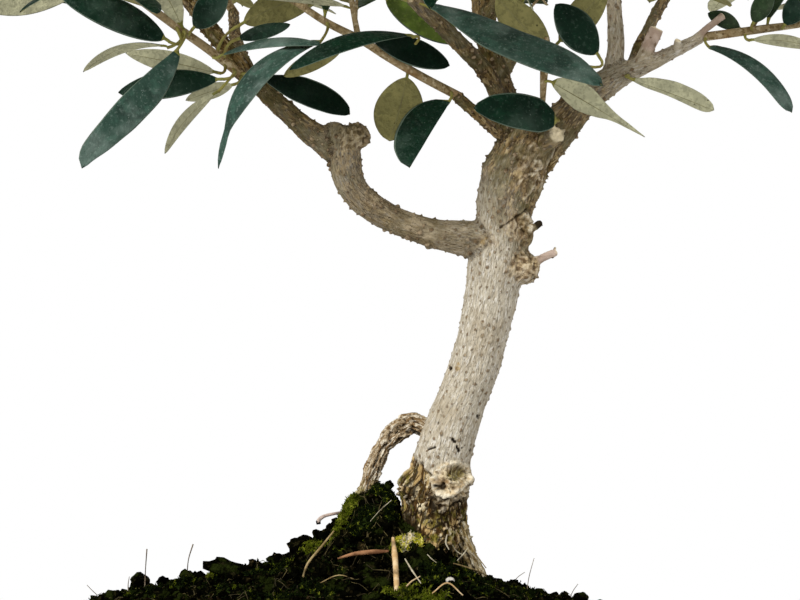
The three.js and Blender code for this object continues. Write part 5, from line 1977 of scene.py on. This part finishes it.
# %% Clods
# Each is x, y, z of its middle, half sizes along x, y, z, and how far it tips to the right in degrees.
CLODS = [
    (-36, 0, 77.5, 8.2, 5, 3.2, 20),
    (-52, 10, 74, 2.6, 2.6, 2.6, 0),
    (-48, 14, 73, 2.4, 2.6, 2.2, 0),
    (-70, 25, 70, 3.4, 3, 3, 0),
    (-61, 20, 71.5, 2, 2, 1.8, 0),
    (-79, 12, 67, 2.6, 2.6, 2, 0),
    (-21, 2, 80.5, 2.8, 3, 2.6, 0),
    (-12, 3, 84, 5.4, 5, 4.2, 10),
    (-6, 2, 88.5, 3.6, 3.4, 2.6, 0),
    (16.2, 6, 105.6, 1.5, 1.6, 1.6, 20),
    (17.2, 5, 99, 2.4, 2.6, 3.4, 15),
    (-7.4, 3.8, 93.4, 0.8, 0.8, 0.7, 0),
    (81, 8, 67.5, 2.4, 2.4, 2, 0),
    (90, 5, 64.5, 2.4, 2.4, 1.8, 0),
]
EXTRA_CLODS = 160
PEBBLES = [
    (36.2, -24, 77.6, 1.5, 1.3, 1.2, 0),
    (-31, -34, 70.5, 1.2, 1, 0.9, 0),
    (24, 44, 70, 1.3, 1, 0.9, 0),
]

roll = np.random.default_rng(seed=71)
extra = soil_places(EXTRA_CLODS, seed=72)
sizes = roll.uniform(1.0, 3.0, (len(extra), 1)) * roll.uniform(0.6, 1.2, (len(extra), 3))
rows = np.vstack([CLODS, np.column_stack([extra, sizes, roll.uniform(-25, 25, len(extra))]), PEBBLES])
points, faces = ball(subdivisions=3)
is_pebble = np.arange(len(rows)) >= len(rows) - len(PEBBLES)
clods = []
for row, smooth_stone in zip(rows, is_pebble):
    rough = 0.15 if smooth_stone else 0.45
    lumpy = points * (1 + rough * fractal(points + row[:3], 0.8, 4)[:, None])
    tip = Matrix.Rotation(math.radians(row[6]), 3, "Y")
    clods.append(lumpy * row[3:6] @ np.array(tip).T + row[:3])

stone = Finish("stone", (208, 202, 190), roughness=0.6)
stone.lay_patches(((150, 142, 126), 420, 0.48, 0.62, 1.0))
mesh = joined_mesh("clods", np.array(clods), faces, is_pebble)
add_piece("clods", mesh, materials=[PEAT, stone.done()])

# %% Crumbs
CRUMBS = 5200
BROWN_PEAT = peat_finish("peat_brown", (30, 25, 13), (70, 58, 34))
roll = np.random.default_rng(seed=81)
places = soil_places(CRUMBS, seed=82)
points, faces = ball(subdivisions=1)
size = 0.45 + 1.3 * roll.random(len(places)) ** 2.5
dents = roll.uniform(0.6, 1.3, (len(places), len(points), 1))
stretch = roll.uniform(0.6, 1.4, (len(places), 1, 3))
shapes = points[None] * dents * stretch * size[:, None, None]
crumbs = np.einsum("nij,nkj->nki", random_turns(roll, len(places)), shapes) + places[:, None]
mesh = joined_mesh("crumbs", crumbs, faces, roll.random(len(places)) < 0.14, smooth=False)
add_piece("crumbs", mesh, materials=[PEAT, BROWN_PEAT])

# %% [markdown]
# ## Moss
# Moss is thousands of tiny leaves that stand out from cushions. Each tuft is a bunch of pointed blades with
# four faces each. Tufts crowd where the soil stays damp: round the foot of the arched root, between the
# roots, and on the clods. Their greens are dealt out tuft by tuft. One cushion by the trunk is pale with
# drought.

# %% Tufts
# Cushions of moss: x, y of the middle, reach along x and y, height, tufts, and the tone that most have.
CUSHIONS = [
    (3.0, 1.5, 3.2, 3.0, 1.6, 380, "bright"),
    (-0.5, -1.5, 3.4, 3.0, 1.4, 260, "bright"),
    (-9.0, -1.5, 4.6, 3.4, 2.0, 260, "bright"),
    (8.0, -5.0, 5.0, 3.4, 1.0, 380, "dark"),
    (14.0, 4.0, 4.4, 4.0, 1.2, 420, "dark"),
    (17.0, -2.0, 2.6, 4.0, 1.0, 200, "dark"),
    (22.4, -12.2, 5.2, 2.0, 3.6, 520, "pale"),
    (22.8, -12.6, 3.0, 1.5, 4.2, 220, "dry"),
    (18.6, -13.2, 1.6, 1.6, 2.6, 90, "bright"),
    (26.0, -36.0, 12.0, 5.0, 1.0, 300, "bright"),
    (33.0, -22.0, 7.0, 6.0, 1.0, 240, "dark"),
    (-14.0, -33.0, 15.0, 6.0, 1.0, 260, "dark"),
    (44.0, -14.0, 8.0, 5.0, 1.0, 260, "dark"),
    (-43.0, 14.0, 3.0, 4.0, 1.4, 90, "bright"),
    (-24.0, -6.0, 9.0, 6.0, 1.0, 220, "dark"),
    (-60.0, 4.0, 14.0, 8.0, 1.0, 220, "dark"),
    (60.0, -4.0, 14.0, 8.0, 1.0, 200, "dark"),
]
WILD_TUFTS = 5200
MOSS_TONES = ["dark", "bright", "pale", "dry"]


def tuft_rows(roll):
    """Middles and tones of all tufts: domes over the cushions, and a thin growth all over."""
    rows = []
    for x, y, wide, deep, high, count, tone in CUSHIONS:
        radius, angle = in_disc(roll, count)
        across, inward = x + wide * radius * np.cos(angle), y + deep * radius * np.sin(angle)
        dome = high * (1 - radius**2) * roll.uniform(0.7, 1, count)
        own = roll.random(count) < 0.8
        tones = np.where(own, MOSS_TONES.index(tone), roll.integers(0, 2, count))
        rows.append(np.column_stack([across, inward, soil_height(across, inward) + dome, tones]))
    wild = soil_places(WILD_TUFTS, seed=92)
    wild = wild[fractal(wild, 14) > 0.02]
    rows.append(np.column_stack([wild, roll.random(len(wild)) < 0.05]))
    return np.vstack(rows)


# %% Blades
BLADES = 6
roll = np.random.default_rng(seed=91)
tufts = np.repeat(tuft_rows(roll), BLADES, axis=0)
aim = unit_rows(roll.normal(size=(len(tufts), 3)) + [0, -0.35, 0.9])
beside = unit_rows(np.cross(aim, roll.normal(size=(len(tufts), 3))))
third = np.cross(aim, beside)
long = roll.uniform(0.6, 1.5, (len(tufts), 1))
wide = roll.uniform(0.2, 0.4, (len(tufts), 1))
foot = tufts[:, :3] - 0.2 * aim + 0.35 * roll.normal(size=(len(tufts), 3))
corners = [foot + wide * (beside * math.cos(turn) + third * math.sin(turn)) for turn in (0.0, 2.1, 4.2)]
blades = np.stack([*corners, foot + aim * long], axis=1)
faces = np.array([[0, 2, 1], [0, 1, 3], [1, 2, 3], [2, 0, 3]])
print(len(tufts) // BLADES, "tufts")


# %% Moss material
def moss_finish(name, base, light):
    """Moss: one green, with lighter and much darker leaves."""
    made = Finish(name, base, roughness=1.0, specular=0.0)
    made.lay_patches((light, 600, 0.45, 0.62, 0.8), (scaled(base, 0.45), 300, 0.5, 0.62, 0.8))
    return made.done()


MOSS = [
    moss_finish("moss_dark", (14, 20, 8), (46, 58, 20)),
    moss_finish("moss_bright", (74, 84, 16), (140, 144, 48)),
    moss_finish("moss_pale", (196, 190, 52), (246, 238, 140)),
    moss_finish("moss_dry", (238, 222, 182), (255, 248, 226)),
]
add_piece("moss", joined_mesh("moss", blades, faces, tufts[:, 3], smooth=False), materials=MOSS)

# %% [markdown]
# ## Litter
# A dry leaf, a few sticks, white rootlets and hair-thin moss stalks lie and stand on the soil. They are tubes
# along short lines of points. Hundreds of brown fibres, strewn by the same height function, bind the peat.

# %% Single pieces of litter
# Each is its tone, its radii from end to end, and its points.
LITTER = [
    ("rust", [0.2, 0.5, 0.75, 0.8, 0.4],
     [(-1.4, -17.0, 83.4), (3.2, -17.4, 85.0), (8.0, -17.6, 85.9), (16.4, -17.6, 86.4)]),
    ("straw", [0.5, 1.0, 0.9, 0.9, 0.8],
     [(17.7, -14.4, 90.4), (18.2, -18.2, 86.0), (18.6, -24.6, 82.2), (19.0, -36.4, 75.6)]),
    ("pale", [0.3, 0.42, 0.45, 0.35],
     [(-1.9, -4.0, 91.4), (-5.7, -9.0, 87.0), (-10.0, -13.4, 82.0), (-11.3, -21.0, 78.6)]),
    ("pink", [0.45, 0.5, 0.55, 0.75],
     [(2.4, 3.4, 97.2), (-4.4, 3.6, 95.9), (-6.9, 3.8, 94.6), (-7.4, 3.8, 93.4)]),
    ("bone", [0.1, 0.14, 0.1], [(10.2, -9.4, 95.2), (13.4, -9.2, 98.8), (17.2, -7.6, 102.0)]),
    ("bone", [0.15, 0.28, 0.15], [(35.4, -12.4, 91.2), (35.0, -13.0, 88.6), (36.0, -13.4, 86.4)]),
    ("bone", [0.15, 0.22, 0.15], [(37.2, -10.4, 87.6), (38.6, -11.2, 85.6), (40.6, -11.6, 84.4)]),
    ("bone", [0.15, 0.24, 0.15], [(42.3, -11.4, 86.8), (40.6, -12.4, 84.6), (38.7, -13.2, 82.8)]),
    ("bone", [0.2, 0.3, 0.15], [(21.6, -21.4, 84.4), (24.0, -26.0, 81.0), (26.7, -30.2, 77.6)]),
    ("bone", [0.12, 0.18, 0.12], [(28.8, -19.6, 85.6), (30.2, -20.0, 84.2), (31.8, -20.2, 83.0)]),
    ("straw", [0.2, 0.28, 0.2], [(30.2, -35.6, 75.2), (35.1, -32.0, 78.0), (40.0, -31.6, 74.0)]),
    ("straw", [0.2, 0.25, 0.2], [(20.4, -36.0, 75.6), (23.4, -31.4, 78.2), (26.4, -27.0, 79.4)]),
    ("pale", [0.2, 0.28, 0.2], [(37.4, -17.4, 82.4), (43.0, -13.0, 80.2), (48.6, -8.0, 77.4)]),
    ("pale", [0.15, 0.22, 0.15], [(41.2, -10.0, 92.0), (44.6, -9.0, 85.0), (48.4, -7.6, 79.6)]),
    ("pale", [0.15, 0.2, 0.15], [(-6.0, -28.0, 77.2), (0.5, -27.0, 79.8), (7.4, -26.4, 77.6)]),
    ("hair", [0.22, 0.16, 0.22], [(-66.9, 15.3, 69.5), (-66.7, 15.3, 76.0), (-66.2, 15.3, 83.2)]),
    ("hair", [0.2, 0.16, 0.24], [(-52.1, 10.5, 73.5), (-51.6, 10.5, 80.0), (-50.0, 10.5, 85.4)]),
    ("hair", [0.14, 0.12, 0.1], [(-84.4, 23.8, 66.3), (-86.4, 23.8, 68.2), (-87.9, 23.8, 69.8)]),
    ("hair", [0.2, 0.16, 0.1], [(-73.2, 20.0, 67.5), (-73.2, 20.0, 70.5), (-72.8, 20.0, 73.2)]),
    ("hair", [0.14, 0.12, 0.1], [(57.3, 12.5, 71.0), (60.0, 12.5, 74.0), (62.4, 12.5, 75.7)]),
    ("hair", [0.14, 0.12, 0.1], [(62.4, 1.4, 71.0), (63.2, 1.4, 76.0), (64.8, 1.4, 81.8)]),
    ("hair", [0.14, 0.12, 0.1], [(79.2, 31.0, 64.5), (80.4, 31.0, 67.0), (82.0, 31.0, 69.2)]),
]
LITTER_TONES = {
    "rust": ((112, 74, 46), (168, 122, 84)),
    "straw": ((206, 170, 118), (234, 206, 162)),
    "pale": ((134, 112, 70), (180, 158, 110)),
    "pink": ((176, 152, 138), (208, 190, 176)),
    "bone": ((160, 150, 122), (196, 186, 160)),
    "hair": ((120, 104, 84), (150, 136, 112)),
    "fibre": ((58, 50, 26), (96, 86, 48)),
}
print(len(LITTER), "pieces of litter")


# %% Fibres
FIBRES = 420


def fibre_lines(count, seed):
    """Short bent fibres that lie on the soil."""
    roll = np.random.default_rng(seed)
    lines = []
    for start in soil_places(count, seed + 1):
        angle = 2 * np.pi * roll.random()
        bends = angle + np.cumsum(roll.normal(0, 0.45, 4))
        steps = roll.uniform(1.0, 3.2) * np.column_stack([np.cos(bends), np.sin(bends)])
        flat = start[:2] + np.vstack([[0, 0], np.cumsum(steps, axis=0)])
        lifted = soil_height(flat[:, 0], flat[:, 1]) + roll.uniform(0.1, 1.0, len(flat))
        lines.append((np.column_stack([flat, lifted]), np.full(len(flat), roll.uniform(0.08, 0.18))))
    return lines


# %% Litter as one piece
shares = np.linspace(0, 1, 13)
bundles = []
litter_materials = []
for tone, (base, light) in LITTER_TONES.items():
    if tone == "fibre":
        bundles.append((fibre_lines(FIBRES, seed=95), 4))
    else:
        own = [(radii, points) for own_tone, radii, points in LITTER if own_tone == tone]
        bundles.append(([(evenly(points, shares), spread(radii, shares)) for radii, points in own], 8))
    made = Finish("litter_" + tone, base, roughness=0.8)
    made.lay_patches((light, 260, 0.42, 0.62, 1.0), (scaled(base, 0.5), 140, 0.54, 0.64, 0.7))
    litter_materials.append(made.done())
add_piece("litter", tubes_together("litter", *bundles), materials=litter_materials)
